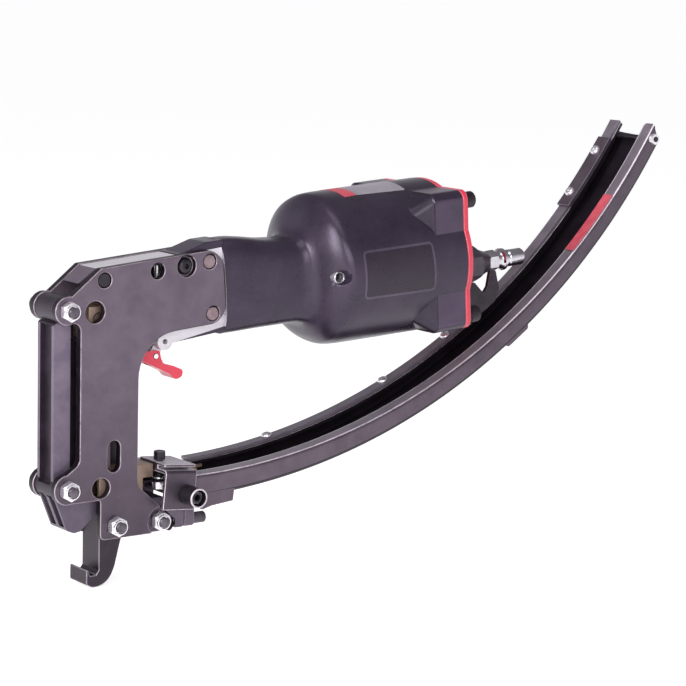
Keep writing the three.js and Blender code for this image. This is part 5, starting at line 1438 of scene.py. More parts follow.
@dataclass
class FrontHardware:
    """Anvil, pins, bolts, locking nuts and button screws of the frame."""

    fasteners: Fasteners
    seat: float = 14.9
    root_seat: float = 12.4
    button_seat: float = 11.5

    def build(self) -> None:
        """Make and mount them all."""
        anvil = prism("forged_anvil", rounded([
            (4.6, 40.4, 0), (4.6, 2.4, 0.8), (2.8, 0, 0), (-1, 0, 0), (-2.4, 3.5, 0.5),
            (-3.4, 3.5, 0), (-3.4, -5, 1), (0.5, -7, 3), (10, -7, 12), (15, 3.2, 14), (19.6, 21, 0),
            (22, 33, 0), (22, 40.4, 0),
        ]), -9.3, 9.3)
        cut(anvil, bar("bolt", ANVIL_BOLT, BOLT_HOLE, -11, 11))
        mount(soften(paint(anvil, FORGED, CAST_EDGE), 0.6, slot=1), "platesteel", "anvil")
        self.pins()
        self.bolts()

    def pins(self) -> None:
        """The fulcrum pin and the two dowels, each with a small chamfer."""
        pin = [(-14.3, 0), (-14.3, 3.6), (-13.9, 4), (13.9, 4), (14.3, 3.6), (14.3, 0)]
        for name, place, finish, slot in (
            ("fulcrum_pin", FULCRUM, BLACK, "blacksteel"),
            ("upper_dowel", UPPER_DOWEL, DOWEL, "dowel"),
            ("lower_dowel", LOWER_DOWEL, DOWEL, "dowel"),
        ):
            where = shift(place[0], 0, place[1]) @ TO_FAR
            mount(smooth(paint(turned(name + "_ground", pin, where), finish)), slot, name)

    def bolts(self) -> None:
        """Frame bolts with their nuts, and the button screws."""
        tools = self.fasteners
        near, far = (0, -1, 0), (0, 1, 0)
        nuts = [((x, -self.seat, z), near) for x, z in (*EARS, ANVIL_BOLT)]
        nuts.append(((ROOT_BOLT[0], -self.root_seat, ROOT_BOLT[1]), near))
        pattern = tools.lock_nut(10, 4.4, 4.5, 1.8, 3.05)
        names = ["upper", "lower", "anvil", "root"]
        tools.set_in("lock_nuts", pattern, ZINC, nuts, "zinc", *[f"{n}_lock_nut" for n in names])
        tools.set_in("bolt_ends", tools.thread(3, -14, 7.4), BOLT_END, nuts, "zinc")
        heads = [((x, self.seat, z), far) for x, z in (*EARS, ANVIL_BOLT, ROOT_BOLT)]
        pattern = tools.screw(Head.KNURLED, 5, 6, 2.5, 3, 20)
        bolts = [f"{n}_frame_bolt" for n in names]
        tools.set_in("frame_bolts", pattern, BLACK, heads, "blacksteel", *bolts)
        x, z = BUTTON
        spots = [((x, -self.button_seat, z), near), ((x, self.button_seat, z), far)]
        pattern = tools.screw(Head.DOMED, 4.9, 3, 1.8, 2.6, 9)
        buttons = ("near_button_screw", "far_button_screw")
        tools.set_in("button_screws", pattern, BLACK, spots, "blacksteel", *buttons)


@dataclass
class Magazine:
    """The curved clip channel, with what lies on it; straight pieces are bent along its arc."""

    fasteners: Fasteners
    radius: float = 414.6
    centre_x: float = 61.5
    centre_z: float = 468.1
    half: float = 20.25
    mouth: float = 10.8
    sheet: float = 2.0
    rings: int = 151
    screw_row: float = 15.5
    end_seat: float = 20.55

    def __post_init__(self) -> None:
        """Build the tree that bends the straight pieces."""
        self.shop = bend_tree()

    def bend(self, obj: Obj, finish: Finish) -> Obj:
        """Lay a straight piece along the arc."""
        x, z = self.centre_x * MM, self.centre_z * MM
        return self.shop.run(obj, finish, Radius=self.radius * MM, Centre_X=x, Centre_Z=z)

    def run_at(self, degrees: float) -> float:
        """Length along the flange at an angle."""
        return math.radians(degrees) * self.radius

    def depth(self, share: float) -> float:
        """Depth of the channel at a share of its length."""
        return 13.6 - 3.0 * share

    def profile(self, depth: float) -> list[Flat]:
        """Draw the channel's section, with its bends.

        Args:
            depth: Its depth.

        Returns:
            Points across and up from the flange.
        """
        h, m, s = self.half, self.mouth, self.sheet
        return rounded([
            (-m, 0, 0), (-m - 0.6, 0, 0), (-m - 1.6, 0, 0), (-h, 0, 2.4), (-h, -depth, 2.4),
            (h, -depth, 2.4), (h, 0, 2.4), (m + 1.6, 0, 0), (m + 0.6, 0, 0), (m, 0, 0), (m, -s, 0),
            (h - s, -s, 0.7), (h - s, s - depth, 0.7), (s - h, s - depth, 0.7), (s - h, -s, 0.7),
            (-m, -s, 0),
        ], 4)

    def channel(self) -> None:
        """The channel: rings along its length, with the webs' rear ends cut on a slant."""
        start, lip = self.run_at(-1.2), self.run_at(57.75)
        rings = []
        for i in range(self.rings):
            share = i / (self.rings - 1)
            ring = []
            for y, z in self.profile(self.depth(share)):
                low = max(0.0, -z - self.sheet)
                near, far = 6.0 * min(1.0, low), 5.4 * low / 10
                lean = min(1.0, max(0.0, 0.5 - y / self.half / 2))
                inner = 1.6 * max(0.0, 1 - (abs(y) - self.mouth) / 1.6)
                outer = 1.2 * max(0.0, abs(y) - self.half + 1.2)
                end = lip - far - (near - far) * lean - (inner + outer)
                ring.append(Vector((start + (end - start) * share, y, z)) * MM)
            rings.append(ring)
        channel = loft("clip_channel", rings)
        bump = prism("bump", rounded([
            (self.run_at(32.9), -10.6, 0), (self.run_at(35.8), -10.6, 0),
            (self.run_at(35.6), -12.9, 1.6), (self.run_at(33.1), -12.9, 1.6),
        ]), -self.half + 0.3, self.half - 0.3)
        gather(channel, bump)
        self.bend(channel, SHEET)
        paint(channel, SHEET, RAIL, FOLD, DEEP)
        smooth(channel, 40)
        section = self.profile(12.0)
        count = len(section)
        for face in channel.data.polygons[: (self.rings - 1) * count]:
            k = face.index % count
            (y0, z0), (y1, z1) = section[k - 1], section[k]
            face.material_index = self.skin((y0 + y1) / 2, (z0 + z1) / 2, math.hypot(y1 - y0, z1 - z0))
        mount(channel, "platesteel", "magazine_channel")

    def skin(self, y: float, z: float, width: float) -> int:
        """Choose the finish of a strip of the section: sheet; rail, rubbed and partly a painted highlight;
        rubbed fold with a painted highlight; or trough walls in painted shade.

        Args:
            y: Its middle across.
            z: Its middle up.
            width: How wide it is.

        Returns:
            Its material slot.
        """
        if abs(y) < self.half - self.sheet + 0.1 and z < -0.6:
            return 3 if z > -11.5 else 0
        shoulder = width < 1.2 and -0.8 < z < -0.3 and abs(y) > self.half - 1.7
        if abs(y) < self.mouth + 0.5 or shoulder:
            return 2
        if width < 1.2 and z < -8:
            return 3
        return 1 if z > -0.2 else 0

    def strip(self, name: str, run: Flat, z: Flat, y: Flat, finish: Finish) -> Obj:
        """A flat piece along the arc.

        Args:
            name: The piece's name.
            run: Angles where it starts and ends, in degrees.
            z: Its lower and upper face above the flange.
            y: Its limits across.
            finish: Its finish.

        Returns:
            The bent piece with softened edges.
        """
        a, b = (self.run_at(angle) for angle in run)
        steps = max(6, int((run[1] - run[0]) * 1.6))
        section = [(y[0], z[0]), (y[1], z[0]), (y[1], z[1]), (y[0], z[1])]
        places = [a + (b - a) * i / steps for i in range(steps + 1)]
        rings = [[Vector((x, p, q)) * MM for p, q in section] for x in places]
        obj = self.bend(loft(name, rings), finish)
        return soften(paint(obj, finish, CAST_EDGE), min(0.25, (z[1] - z[0]) * 0.3), slot=1)

    def build(self) -> None:
        """Make and mount the channel and what lies on it."""
        self.channel()
        shape = rounded([(66.4, 32.2, 1), (73.3, 34, 2), (88.2, 35.4, 1), (89.2, 43, 0), (66.4, 43, 0)])
        for side, name in ((-1, "near_channel_lug"), (1, "far_channel_lug")):
            lug = prism(name, shape, *sorted((side * 20.2, side * 17)))
            mount(soften(paint(lug, SHEET, CAST_EDGE), 0.5, slot=1), "platesteel")
        strip = self.strip("clip_rail", (2.2, 57.6), (0.3, 2.3), (11.6, 19.4), RAIL)
        mount(strip, "platesteel", "far_track_strip")
        plate = self.strip("clip_hold_down", (47.9, 55.6), (2.6, 4.4), (8.7, 19.8), SHEET)
        gather(plate, self.strip("lip", (48.0, 55.5), (1.4, 2.8), (8.8, 10.4), SHEET))
        mount(plate, "platesteel", "hold_down_plate")
        tag = self.strip("bare_tag", (43.5, 50), (0.3, 0.8), (-19.35, -11.25), LABEL)
        mount(tag, "red", "magazine_tag")
        self.screws()

    def spot(self, degrees: float, above: float, y: float) -> Spot:
        """Find a place on the arc and the way up from it.

        Args:
            degrees: Angle along the arc.
            above: Height over the flange.
            y: Place across.

        Returns:
            The place and the way up.
        """
        t = math.radians(degrees)
        reach = self.radius - above
        place = (self.centre_x + reach * math.sin(t), y, self.centre_z - reach * math.cos(t))
        return (place, (-math.sin(t), 0, math.cos(t)))

    def screws(self) -> None:
        """Screws of the strip and of the hold-down plate, and the bolt at the end."""
        tools = self.fasteners
        for name, angles, above, reach, nodes in (
            ("rail_screws", (10.4, 23.1, 30.7), 2.6, 4, [f"track_screw_{i}" for i in (1, 2, 3)]),
            ("hold_down_screws", (49.4, 54.1), 4.4, 6, []),
        ):
            pattern = tools.screw(Head.DOMED, 3.4, 2, 1.3, 1.5, reach)
            spots = [self.spot(angle, above, self.screw_row) for angle in angles]
            tools.set_in(name, pattern, ZINC, spots, "zinc", *nodes)
        x, _, z = self.spot(56.5, -0.35 * self.depth(0.974), 0)[0]
        near, far = ((x, -self.end_seat, z), (0, -1, 0)), ((x, self.end_seat, z), (0, 1, 0))
        tools.set_in("end_lock_nut", tools.hexagon(6.4, 3, 0.4), ZINC, [near], "zinc", "end_nut")
        screw = tools.screw(Head.KNURLED, 3, 2.4, 1.3, 1.8, 44.4)
        tools.set_in("end_screw", screw, BLACK, [far], "blacksteel", "end_bolt")


@dataclass
class Bracket:
    """What stands on the front of the magazine: spring, thumb screw and knob sleeve."""

    knob: Flat = (54.4, 43.6)

    def build(self) -> None:
        """Make and mount the pieces."""
        leaf_top, gap, wire = 51.3 + 0.9, 0.3, 0.55
        coil = points("leaf_coil", [((0, 0, 0), (0, 0, 1))])
        coil_tree().run(coil, BLACK, Turns=3.0, Radius=2.9 * MM, Height=4.3 * MM, Wire=wire * MM)
        coil.data.transform(shift(45.6, -7, leaf_top + gap + wire))
        mount(smooth(coil), "blacksteel", "leaf_spring")
        core = [(0, 0), (0, 2.9), (0.3, 3.1), (8.2, 3.1), (8.6, 2.7), (8.6, 0)]
        thumb = turned("knurled_screw", core, shift(-4.3, 0, 0), 40)
        rib_tree().run(thumb, BOLT_END, Count=22, Radius=3.0 * MM, Rib_Radius=0.3 * MM, Length=7.8 * MM)
        shank = turned("shank", [(-16, 0), (-16, 1.9), (-4, 1.9), (-4, 0)], Matrix(), 32)
        gather(thumb, shank)
        thumb.data.transform(shift(65.5, -10.5, 25.9) @ shift(4.3, 0, 0))
        mount(smooth(thumb), "blacksteel", "thumb_screw")
        self.sleeve()

    def sleeve(self) -> None:
        """The round sleeve of the knob, with a screw deep in its bore."""
        bore = [(0, 0), (0, 5.3), (0.4, 5.7), (12.6, 5.7), (13, 5.3), (13, 4.9), (12.7, 4.7), (7.5, 4.7)]
        bore += [(7.5, 3.5), (10.5, 3.5), (10.8, 3.2), (10.8, 0)]
        x, z = self.knob
        tube = turned("knob_tube", bore, shift(x, -22.85, z) @ TO_NEAR)
        cut(tube, prism("key", circle(x, z, 2.1, 6), -34, -28.5))
        dress(smooth(paint(tube, BLACK, FOLD)), self.slot)
        mount(tube, "blacksteel", "knob_sleeve")

    def slot(self, face: Face) -> int:
        """Lighten the rims of sleeve and screw: rubbed bright, with a painted highlight.

        Args:
            face: A face of the sleeve.

        Returns:
            Its material slot.
        """
        spot = face.center / MM
        reach = math.hypot(spot.x - self.knob[0], spot.z - self.knob[1])
        return 1 if spot.y < -35.2 or (spot.y < -33.2 and 3.2 < reach < 3.5) else 0


@dataclass
class Housing:
    """The cylinder casting on the barrel's axes, raw at its lugs and painted behind them."""

    length: float = 163.78
    radius: float = 46.2
    pad: float = 42.4
    inset: float = 7.2
    bolt: float = 3.2
    lug: float = 9.3
    paint_from: float = 85.5
    rib_edge: Spot = ((52, 0, 129.4), (-6.9, 0, 34.0))
    crown_edge: Spot = ((75.6, 0, 181.6), (-1.1, 0, 9.2))
    facets: int = 112
    ramp: float = 32.8

    def stations(self) -> list[list[float]]:
        """List the sections of the form.

        Returns:
            Along, half width, top, bottom and power of each.
        """
        rows = [
            (11, 13, 28.3, 27.6), (20, 14.8, 28, 27.6), (32, 16.8, 26.3, 27.4),
            (46, 18.2, 23.8, 27.5), (60, 18.8, 22.8, 28), (65, 21, 24.3, 29.2),
            (67.8, 25, 27.9, 31.7), (70, 30, 32.4, 34.8), (72.2, 34.6, 36.5, 37.8),
            (74.8, 38.9, 40.4, 40.4), (77.8, 42.6, 43.9, 42.8), (81.5, 44.9, 46, 44.4),
            (88, 45.6, 46.4, 45.1), (118, 46, 46.4, 45.8), (163.78, 46.2, 46.4, 46.6),
        ]
        done = []
        for i, row in enumerate(rows):
            share = min(max((i - 4) / 7, 0), 1)
            done.append([*row, 3.4 - 1.4 * share])
        return done

    def slopes(self, rows: list[list[float]], k: int) -> list[float]:
        """Slopes that keep a column from overshooting between its stations.

        Args:
            rows: The stations.
            k: The column.

        Returns:
            One slope for each station.
        """
        steps = [(b[k] - a[k]) / (b[0] - a[0]) for a, b in zip(rows, rows[1:])]
        inner = [2 * p * q / (p + q) if p * q > 0 else 0.0 for p, q in zip(steps, steps[1:])]
        return [steps[0], *inner, steps[-1]]

    def form(self, grow: float = 0.0) -> Obj:
        """Loft the smooth outer form.

        Args:
            grow: How far it is grown outwards.

        Returns:
            The closed form.
        """
        rows = self.stations()
        slopes = {k: self.slopes(rows, k) for k in range(1, 5)}
        rings = []
        for i, (a, b) in enumerate(zip(rows, rows[1:])):
            gap = b[0] - a[0]
            steps = max(3, round(gap / 2.2))
            for j in range(steps if i < len(rows) - 2 else steps + 1):
                t = j / steps
                line = [a[0] + gap * t]
                for k in range(1, 5):
                    h00, h10 = 2 * t**3 - 3 * t**2 + 1, t**3 - 2 * t**2 + t
                    h01, h11 = -2 * t**3 + 3 * t**2, t**3 - t**2
                    out, into = slopes[k][i], slopes[k][i + 1]
                    line.append(h00 * a[k] + h10 * gap * out + h01 * b[k] + h11 * gap * into)
                rings.append(self.ring(line, grow))
        return loft("casting", rings)

    def ring(self, line: list[float], grow: float) -> list[Vector]:
        """Draw one section, from a rounded square to a circle.

        Args:
            line: Along, half width, top, bottom and power.
            grow: How far it is grown outwards.

        Returns:
            Its points in metres.
        """
        along, half, top, low, power = line
        middle, height = (top - low) / 2, (top + low) / 2 + grow
        found = []
        for k in range(self.facets):
            angle = 2 * math.pi * k / self.facets
            c, s = math.cos(angle), math.sin(angle)
            y = (half + grow) * math.copysign(abs(c) ** (2 / power), c)
            z = middle + height * math.copysign(abs(s) ** (2 / power), s)
            found.append(Vector((along, y, z)) * MM)
        return found

    def square(self, half: float, radius: float = 6.0) -> list[Flat]:
        """The rounded square of pads and cap."""
        corners = ((-half, -half), (half, -half), (half, half), (-half, half))
        return rounded([(y, z, radius) for y, z in corners])

    def screw_places(self) -> list[Flat]:
        """Where the four cap screws go, across the barrel."""
        offset = self.pad - self.inset
        return [(y, z) for y in (-offset, offset) for z in (-offset, offset)]

    def pads(self) -> Obj:
        """Make the four corner pads, with a ramp ahead of them.

        Returns:
            The pads as one body.
        """
        end, pad = self.length, self.pad
        sections = ((end - self.ramp, 34.0), (end - 21.8, pad - 1.2), (end - 21.0, pad), (end, pad))
        rings = [[Vector((x, y, z)) * MM for y, z in self.square(half)] for x, half in sections]
        return smooth(loft("pads", rings), 30)

    def lugs(self) -> list[Obj]:
        """Make the lugs between the plates, with the ear and the neck for the trigger.

        Returns:
            The three bodies.
        """
        rise, top, lug = math.tan(ARM.rise), ARM.at(0, 21.65), self.lug
        front, crown = (to_barrel((x, top[1] + (x - top[0]) * rise)) for x in (53.9, 57.5))
        upper = [(*front, 0), (*crown, 1.0), (1.5, 28.1, 6), (13, 28.1, 0), (13, 11, 0), (front[0], 11, 1.5)]
        under = [(44, 138, 1.5), (43, 130.5, 0), (47, 126.5, 0), (52, 129.5, 0), (88, 134, 0)]
        lower = [(13, -8.2, 0), (to_barrel((68, 157.9))[0], -8.2, 2)]
        lower += [(*to_barrel((x, z)), radius) for x, z, radius in under]
        lower.append((13, lower[-1][1], 0))
        neck = [to_barrel(p) for p in ((39, 122), (47, 122), (49.5, 130.5), (44.5, 130.5))]
        ear = bar("ear", to_barrel(TRIGGER_EAR), 5, -lug, lug)
        pivot = bar("pivot", to_barrel(TRIGGER_PIVOT), 4, -3.7, 3.7)
        bodies = [
            prism("upper_lug", rounded(upper), -lug, lug),
            join(prism("lower_lug", rounded(lower), -lug, lug), ear),
            join(prism("neck", neck, -3.7, 3.7), pivot),
        ]
        return [soften(body, 0.6) for body in bodies]

    def bores(self) -> list[Obj]:
        """Make everything that is bored out of the casting.

        Returns:
            The cutters in the barrel's axes.
        """
        end = self.length
        across = {"hole": (UPPER_DOWEL, 4.3), "low": (LOWER_DOWEL, 4.3), "button": (BUTTON, 2.9)}
        across |= {"ear": (TRIGGER_EAR, 1.6), "pivot": (TRIGGER_PIVOT, 1.9)}
        found = [bar(name, to_barrel(place), radius, -11, 11) for name, (place, radius) in across.items()]
        found.append(bar("bore", (0, 0), 38.5, 92, end + 1, Axis.X))
        found.append(bar("rod", (0, 0), 8.9, -40, 93, Axis.X))
        stem = bar("stem", (47, 0), 1.7, 117, 134.4, Axis.Z)
        stem.data.transform(BARREL.inverted())
        found.append(stem)
        port = [(-50, 0), (-50, 3.9), (-31, 3.9), (-31, 0)]
        found.append(turned("port", port, shift(PORT_AT[0], 0, PORT_AT[1]) @ TO_FAR, 40))
        found += [bar("screw", spot, self.bolt, end - 19, end + 1, Axis.X) for spot in self.screw_places()]
        return found

    def build(self) -> None:
        """Cast, bore and mount the housing, then its port bush and its bare plates."""
        body = join(self.form(), self.pads(), *self.lugs())
        cut(body, *self.bores())
        body.data.transform(BARREL)
        paint(body, PAINT, RAW, PAD, RAMP)
        self.mask(body)
        body.name = "cylinder_casting"
        mount(smooth(body, 34), "paint", "housing")
        self.bush()
        self.plates()

    def mask(self, body: Obj) -> None:
        """Cut the casting's skin along the paint's edges, and finish each side of them.

        Args:
            body: The casting in the frame.
        """
        bm = bmesh.new()
        bm.from_mesh(body.data)
        everything = [*bm.verts, *bm.edges, *bm.faces]
        plane = Vector((self.paint_from, 0, 160)) * MM
        along = Vector((math.cos(BARREL_RISE), 0, math.sin(BARREL_RISE)))
        bmesh.ops.bisect_plane(bm, geom=everything, dist=TOUCH, plane_co=plane, plane_no=along)
        edges = [(Vector(at) * MM, Vector(way).normalized()) for at, way in (self.rib_edge, self.crown_edge)]
        (rib_at, rib_way), (crown_at, crown_way) = edges
        for spot, way in edges:
            ahead = [f for f in bm.faces if (f.calc_center_median() - plane).dot(along) < 0]
            parts = [*ahead, *{e for f in ahead for e in f.edges}, *{v for f in ahead for v in f.verts}]
            bmesh.ops.bisect_plane(bm, geom=parts, dist=TOUCH, plane_co=spot, plane_no=way)
        for face in bm.faces:
            spot = face.calc_center_median()
            above = (spot - rib_at).dot(rib_way) > 0 or spot.x < 0.052
            below = (spot - crown_at).dot(crown_way) < 0
            top = face.normal.z > 0.25 and spot.z > 0.165
            raw = (spot - plane).dot(along) < 0 and above and below and not top
            face.material_index = 1 if raw else self.pad_slot(face)
        bm.to_mesh(body.data)
        bm.free()

    def pad_slot(self, face: bmesh.types.BMFace) -> int:
        """Tell the paint of a face: the pads' flats are paler with a painted highlight, and the ramps ahead
        of them darker with painted shade.

        Args:
            face: A painted face.

        Returns:
            Its material slot.
        """
        back = BARREL.inverted()
        spot = back @ face.calc_center_median() / MM
        way = back.to_3x3() @ face.normal
        if spot.x < self.length - self.ramp - 0.1 or max(abs(spot.y), abs(spot.z)) > self.pad + 0.4:
            return 0
        if way.x < -0.2:
            return 3
        flat = max(abs(way.y), abs(way.z)) > 0.97 and max(abs(spot.y), abs(spot.z)) > self.pad - 0.3
        return 2 if flat else 0

    def bush(self) -> None:
        """The bright bush in the port."""
        ring = [(0, 2.9), (0, 3.8), (4.6, 3.8), (5.0, 3.5), (5.0, 3.2), (4.6, 2.9)]
        where = BARREL @ (shift(PORT_AT[0], -31.5, PORT_AT[1]) @ TO_NEAR)
        mount(smooth(paint(turned("port_bush", ring, where, 40), ZINC)), "zinc")

    def plates(self) -> None:
        """The bare nameplate with its raised rim, and the bare labels on the top."""
        outer = rounded([(87, -13.2, 3), (140, -14.6, 3), (138.4, 15.2, 3), (87, 15.6, 3)])
        inner = rounded([(88.3, -11.9, 2), (138.6, -13.2, 2), (137, 13.8, 2), (88.3, 14.2, 2)])
        foil = rounded([(105.1, -14.9, 0.3), (140.2, -16.8, 1), (141.5, 15.0, 1), (105.1, 15.0, 0.3)])
        patch = rounded([(95.9, -15.5, 1), (104.9, -14.9, 0.3), (104.9, 15.0, 0.3), (95.9, 15.0, 1)])
        rim = cut(prism("nameplate_rim", outer, -47, -41.5), prism("inside", inner, -48, -41))
        for obj, grow, finish in (
            (rim, 0.09, RIM),
            (prism("nameplate_field", inner, -47, -41.5), 0.055, FILM),
            (prism("top_foil", foil, 30, 50, Axis.Z), 0.12, FOIL),
            (prism("top_patch", patch, 30, 50, Axis.Z), 0.12, LABEL),
        ):
            work(obj, [self.form(grow)], Work.SHARE)
            obj.data.transform(BARREL)
            mount(smooth(paint(obj, finish)), "paint")


@dataclass
class RearEnd:
    """The red cap with its boss and screws, the inlet, the plug and the hanger hook."""

    fasteners: Fasteners
    housing: Housing
    drop: float = -12.5
    gap: float = 0.3
    thick: float = 4.0
    boss: float = 22.5
    way: float = 2.4

    def build(self) -> None:
        """Make and mount the pieces in order."""
        front = self.housing.length + self.gap
        rear = front + self.thick
        self.cap(front, rear)
        self.screws(rear)
        self.inlet(rear + self.boss + self.gap)
        self.hook(rear + self.gap)

    def cap(self, front: float, rear: float) -> None:
        """Make the cap: a round and square plate with a boss and a spigot.

        Args:
            front: Where it meets the barrel.
            rear: Its rear face.
        """
        plate = prism("red_cap", self.housing.square(self.housing.pad), front, rear, Axis.X)
        join(plate, prism("round", circle(0, 0, self.housing.radius, 128), front, rear, Axis.X))
        paint(plate, RED, RED_EDGE)
        soften(plate, 0.8, slot=1)
        end = rear + self.boss
        profile = [
            (rear - 1, 6), (rear - 1, 19.6), (rear, 19.6), (rear + 1.5, 19), (end - 1.2, 19),
            (end, 17.8), (end, 6),
        ]
        boss = turned("boss", profile, shift(0, 0, self.drop))
        ring = [
            (front - 5, 33.9), (front - 5, 37.4), (front - 4.5, 37.9), (front + 0.5, 37.9),
            (front + 0.5, 33.9),
        ]
        spigot = turned("spigot", ring, Matrix())
        holes = [bar("way", (0, self.drop), 6, front - 1, rear + 1, Axis.X)]
        for place in self.housing.screw_places():
            holes.append(bar("screw", place, self.housing.bolt, front - 1, rear + 1, Axis.X))
        cut(plate, *holes)
        gather(plate, smooth(boss), smooth(spigot))
        plate.data.transform(BARREL)
        mount(smooth(plate, 50), "red", "rear_cap")

    def screws(self, rear: float) -> None:
        """Set four socket screws with spring washers.

        Args:
            rear: The cap's rear face.
        """
        axis = tuple(BARREL.to_3x3() @ Vector((1, 0, 0)))
        seats, washers = [], []
        for y, z in self.housing.screw_places():
            lift = 2.3 if y < 0 and z < 0 else 0.3
            for spots, along in ((seats, lift + 1.4), (washers, lift)):
                spots.append((tuple(BARREL @ (Vector((rear + along, y, z)) * MM) / MM), axis))
        names = [f"{side}_{level}_cap_screw" for side in ("near", "far") for level in ("lower", "upper")]
        tools = self.fasteners
        pattern = tools.screw(Head.KNURLED, 5, 6.6, 2.5, 2.9, 22)
        tools.set_in("cap_screws", pattern, BLACK, seats, "blacksteel", *names)
        ring = [(0, 3.1), (0, 4.4), (0.2, 4.5), (1.2, 4.5), (1.4, 4.3), (1.4, 3.1)]
        washer = turned("washer", ring, Matrix(), 48)
        tools.set_in("spring_washers", washer, BLACK, washers, "blacksteel")

    def inlet(self, front: float) -> None:
        """Make the black hexagon adapter with its cone, and the chromed plug in it.

        Args:
            front: Where it meets the boss.
        """
        adapter = self.fasteners.hexagon(20, 15.4, 1.2)
        adapter.name = "inlet_hexagon"
        adapter.data.transform(shift(front, 0, 0))
        end = front + 23.4
        cone = [
            (front + 14.6, self.way), (front + 14.6, 9.6), (front + 15.4, 9.8), (front + 17, 8.9),
            (end - 0.6, 6.9), (end, 6.4), (end, 5), (end - 6, 5), (end - 6, self.way),
        ]
        neck = [(front - 6, self.way), (front - 6, 5.6), (front + 0.5, 5.6), (front + 0.5, self.way)]
        cut(adapter, bar("way", (0, 0), self.way, front - 1, front + 17, Axis.X))
        smooth(adapter)
        gather(adapter, smooth(turned("cone", cone, Matrix())), turned("neck", neck, Matrix()))
        adapter.data.transform(BARREL @ shift(0, 0, self.drop))
        mount(smooth(paint(adapter, ADAPTER)), "blacksteel", "inlet_adapter")
        self.plug(end + 0.3)

    def plug(self, start: float) -> None:
        """Turn the quick-connect plug, with its hexagon.

        Args:
            start: Where it meets the cone.
        """
        a, b, c, d, e = (start + along for along in (7.4, 11.4, 14.8, 18.2, 29.6))
        profile = [
            (start - 6, self.way), (start - 6, 4.4), (a - 0.1, 4.4), (a, 4.9), (b - 0.6, 4.9),
            (b, 6.2), (b + 0.7, 7), (c - 0.7, 7), (c, 6.3), (c + 0.5, 4.7), (c + 1, 4.4),
            (d - 0.8, 4.4), (d, 5.2), (d + 0.3, 5.4), (e - 1.2, 5.4), (e - 0.3, 4.9), (e, 4.3),
            (e, 3.0), (e - 0.6, self.way),
        ]
        plug = self.fasteners.hexagon(12, 7.4, 0.7)
        plug.name = "quick_plug"
        plug.data.transform(shift(start, 0, 0))
        cut(plug, bar("way", (0, 0), self.way, start - 7, start + 8, Axis.X))
        gather(smooth(plug), smooth(turned("nose", profile, Matrix()), 34))
        plug.data.transform(BARREL @ shift(0, 0, self.drop))
        mount(smooth(paint(plug, CHROME), 34), "chrome", "air_plug")

    def hook(self, seat: float) -> None:
        """Bend the hanger hook: a tab under a cap screw, and an arm with an upturned end.

        Args:
            seat: Front face of the tab.
        """
        screw = self.housing.screw_places()[0][0]
        low, near, far = screw - 5.8, screw + 8.8, screw + 11.4
        rows = [
            (0, -5.8, 0), (21.8, -2.5, 5.6), (32.2, 3.3, 4.2), (35.6, 10.5, 1.4), (33.2, 22.2, 1.4),
            (29, 23.2, 1.4), (26.3, 12.8, 1.4), (23.2, 9.2, 1.4), (16, 17.2, 1.4), (0, 9.2, 0),
        ]
        arm = prism("bent_hook", rounded([(seat + a, screw + u, r) for a, u, r in rows]), near, far)
        side, high = screw - 4.3, screw + 9.2
        tab = rounded([(side, low, 1.2), (far, low, 0), (far, high, 0), (side, high, 1.2)])
        join(arm, prism("tab", tab, seat, seat + 2, Axis.X))
        cut(arm, bar("screw", (screw, screw), self.housing.bolt, seat - 1, seat + 3, Axis.X))
        arm.data.transform(BARREL)
        mount(soften(paint(arm, BLACK, DARK_EDGE), 0.5, slot=1), "blacksteel", "hanger_hook")


@dataclass
class Trigger:
    """The red finger lever, bored for its pin."""

    pivot: Flat = TRIGGER_PIVOT
    half: float = 6.2
    hollow: float = 4.1

    def build(self) -> None:
        """Mould, cut and mount the lever."""
        (x, z), half, hollow = self.pivot, self.half, self.hollow
        shape = [
            (-9.4, -2.1, 0.8), (-7, 3.2, 1.6), (2.4, 3.2, 1.6), (3.4, -1.4, 1.6), (5.2, -4.8, 2.4),
            (12, -6.6, 6), (18.4, -9.4, 1.9), (17.8, -13.2, 2.4), (13, -15, 3.4), (9.4, -11, 3),
            (3.6, -8.2, 4.8),
        ]
        inside = [(-7.2, -1.0), (-7, 4.2), (7.4, 4.2), (7.4, -6.0), (3.6, -6.0), (-7.2, -6.5)]
        lever = prism("finger_lever", rounded([(x + a, z + b, r) for a, b, r in shape]), -half, half)
        cut(
            lever,
            prism("inside", [(x + a, z + b) for a, b in inside], -hollow, hollow),
            bar("pin", self.pivot, 1.9, -8, 8),
        )
        soften(paint(lever, RED, RED_EDGE), 0.7, slot=1, segments=3)
        mount(lever, "red", "trigger", body="trigger_body")


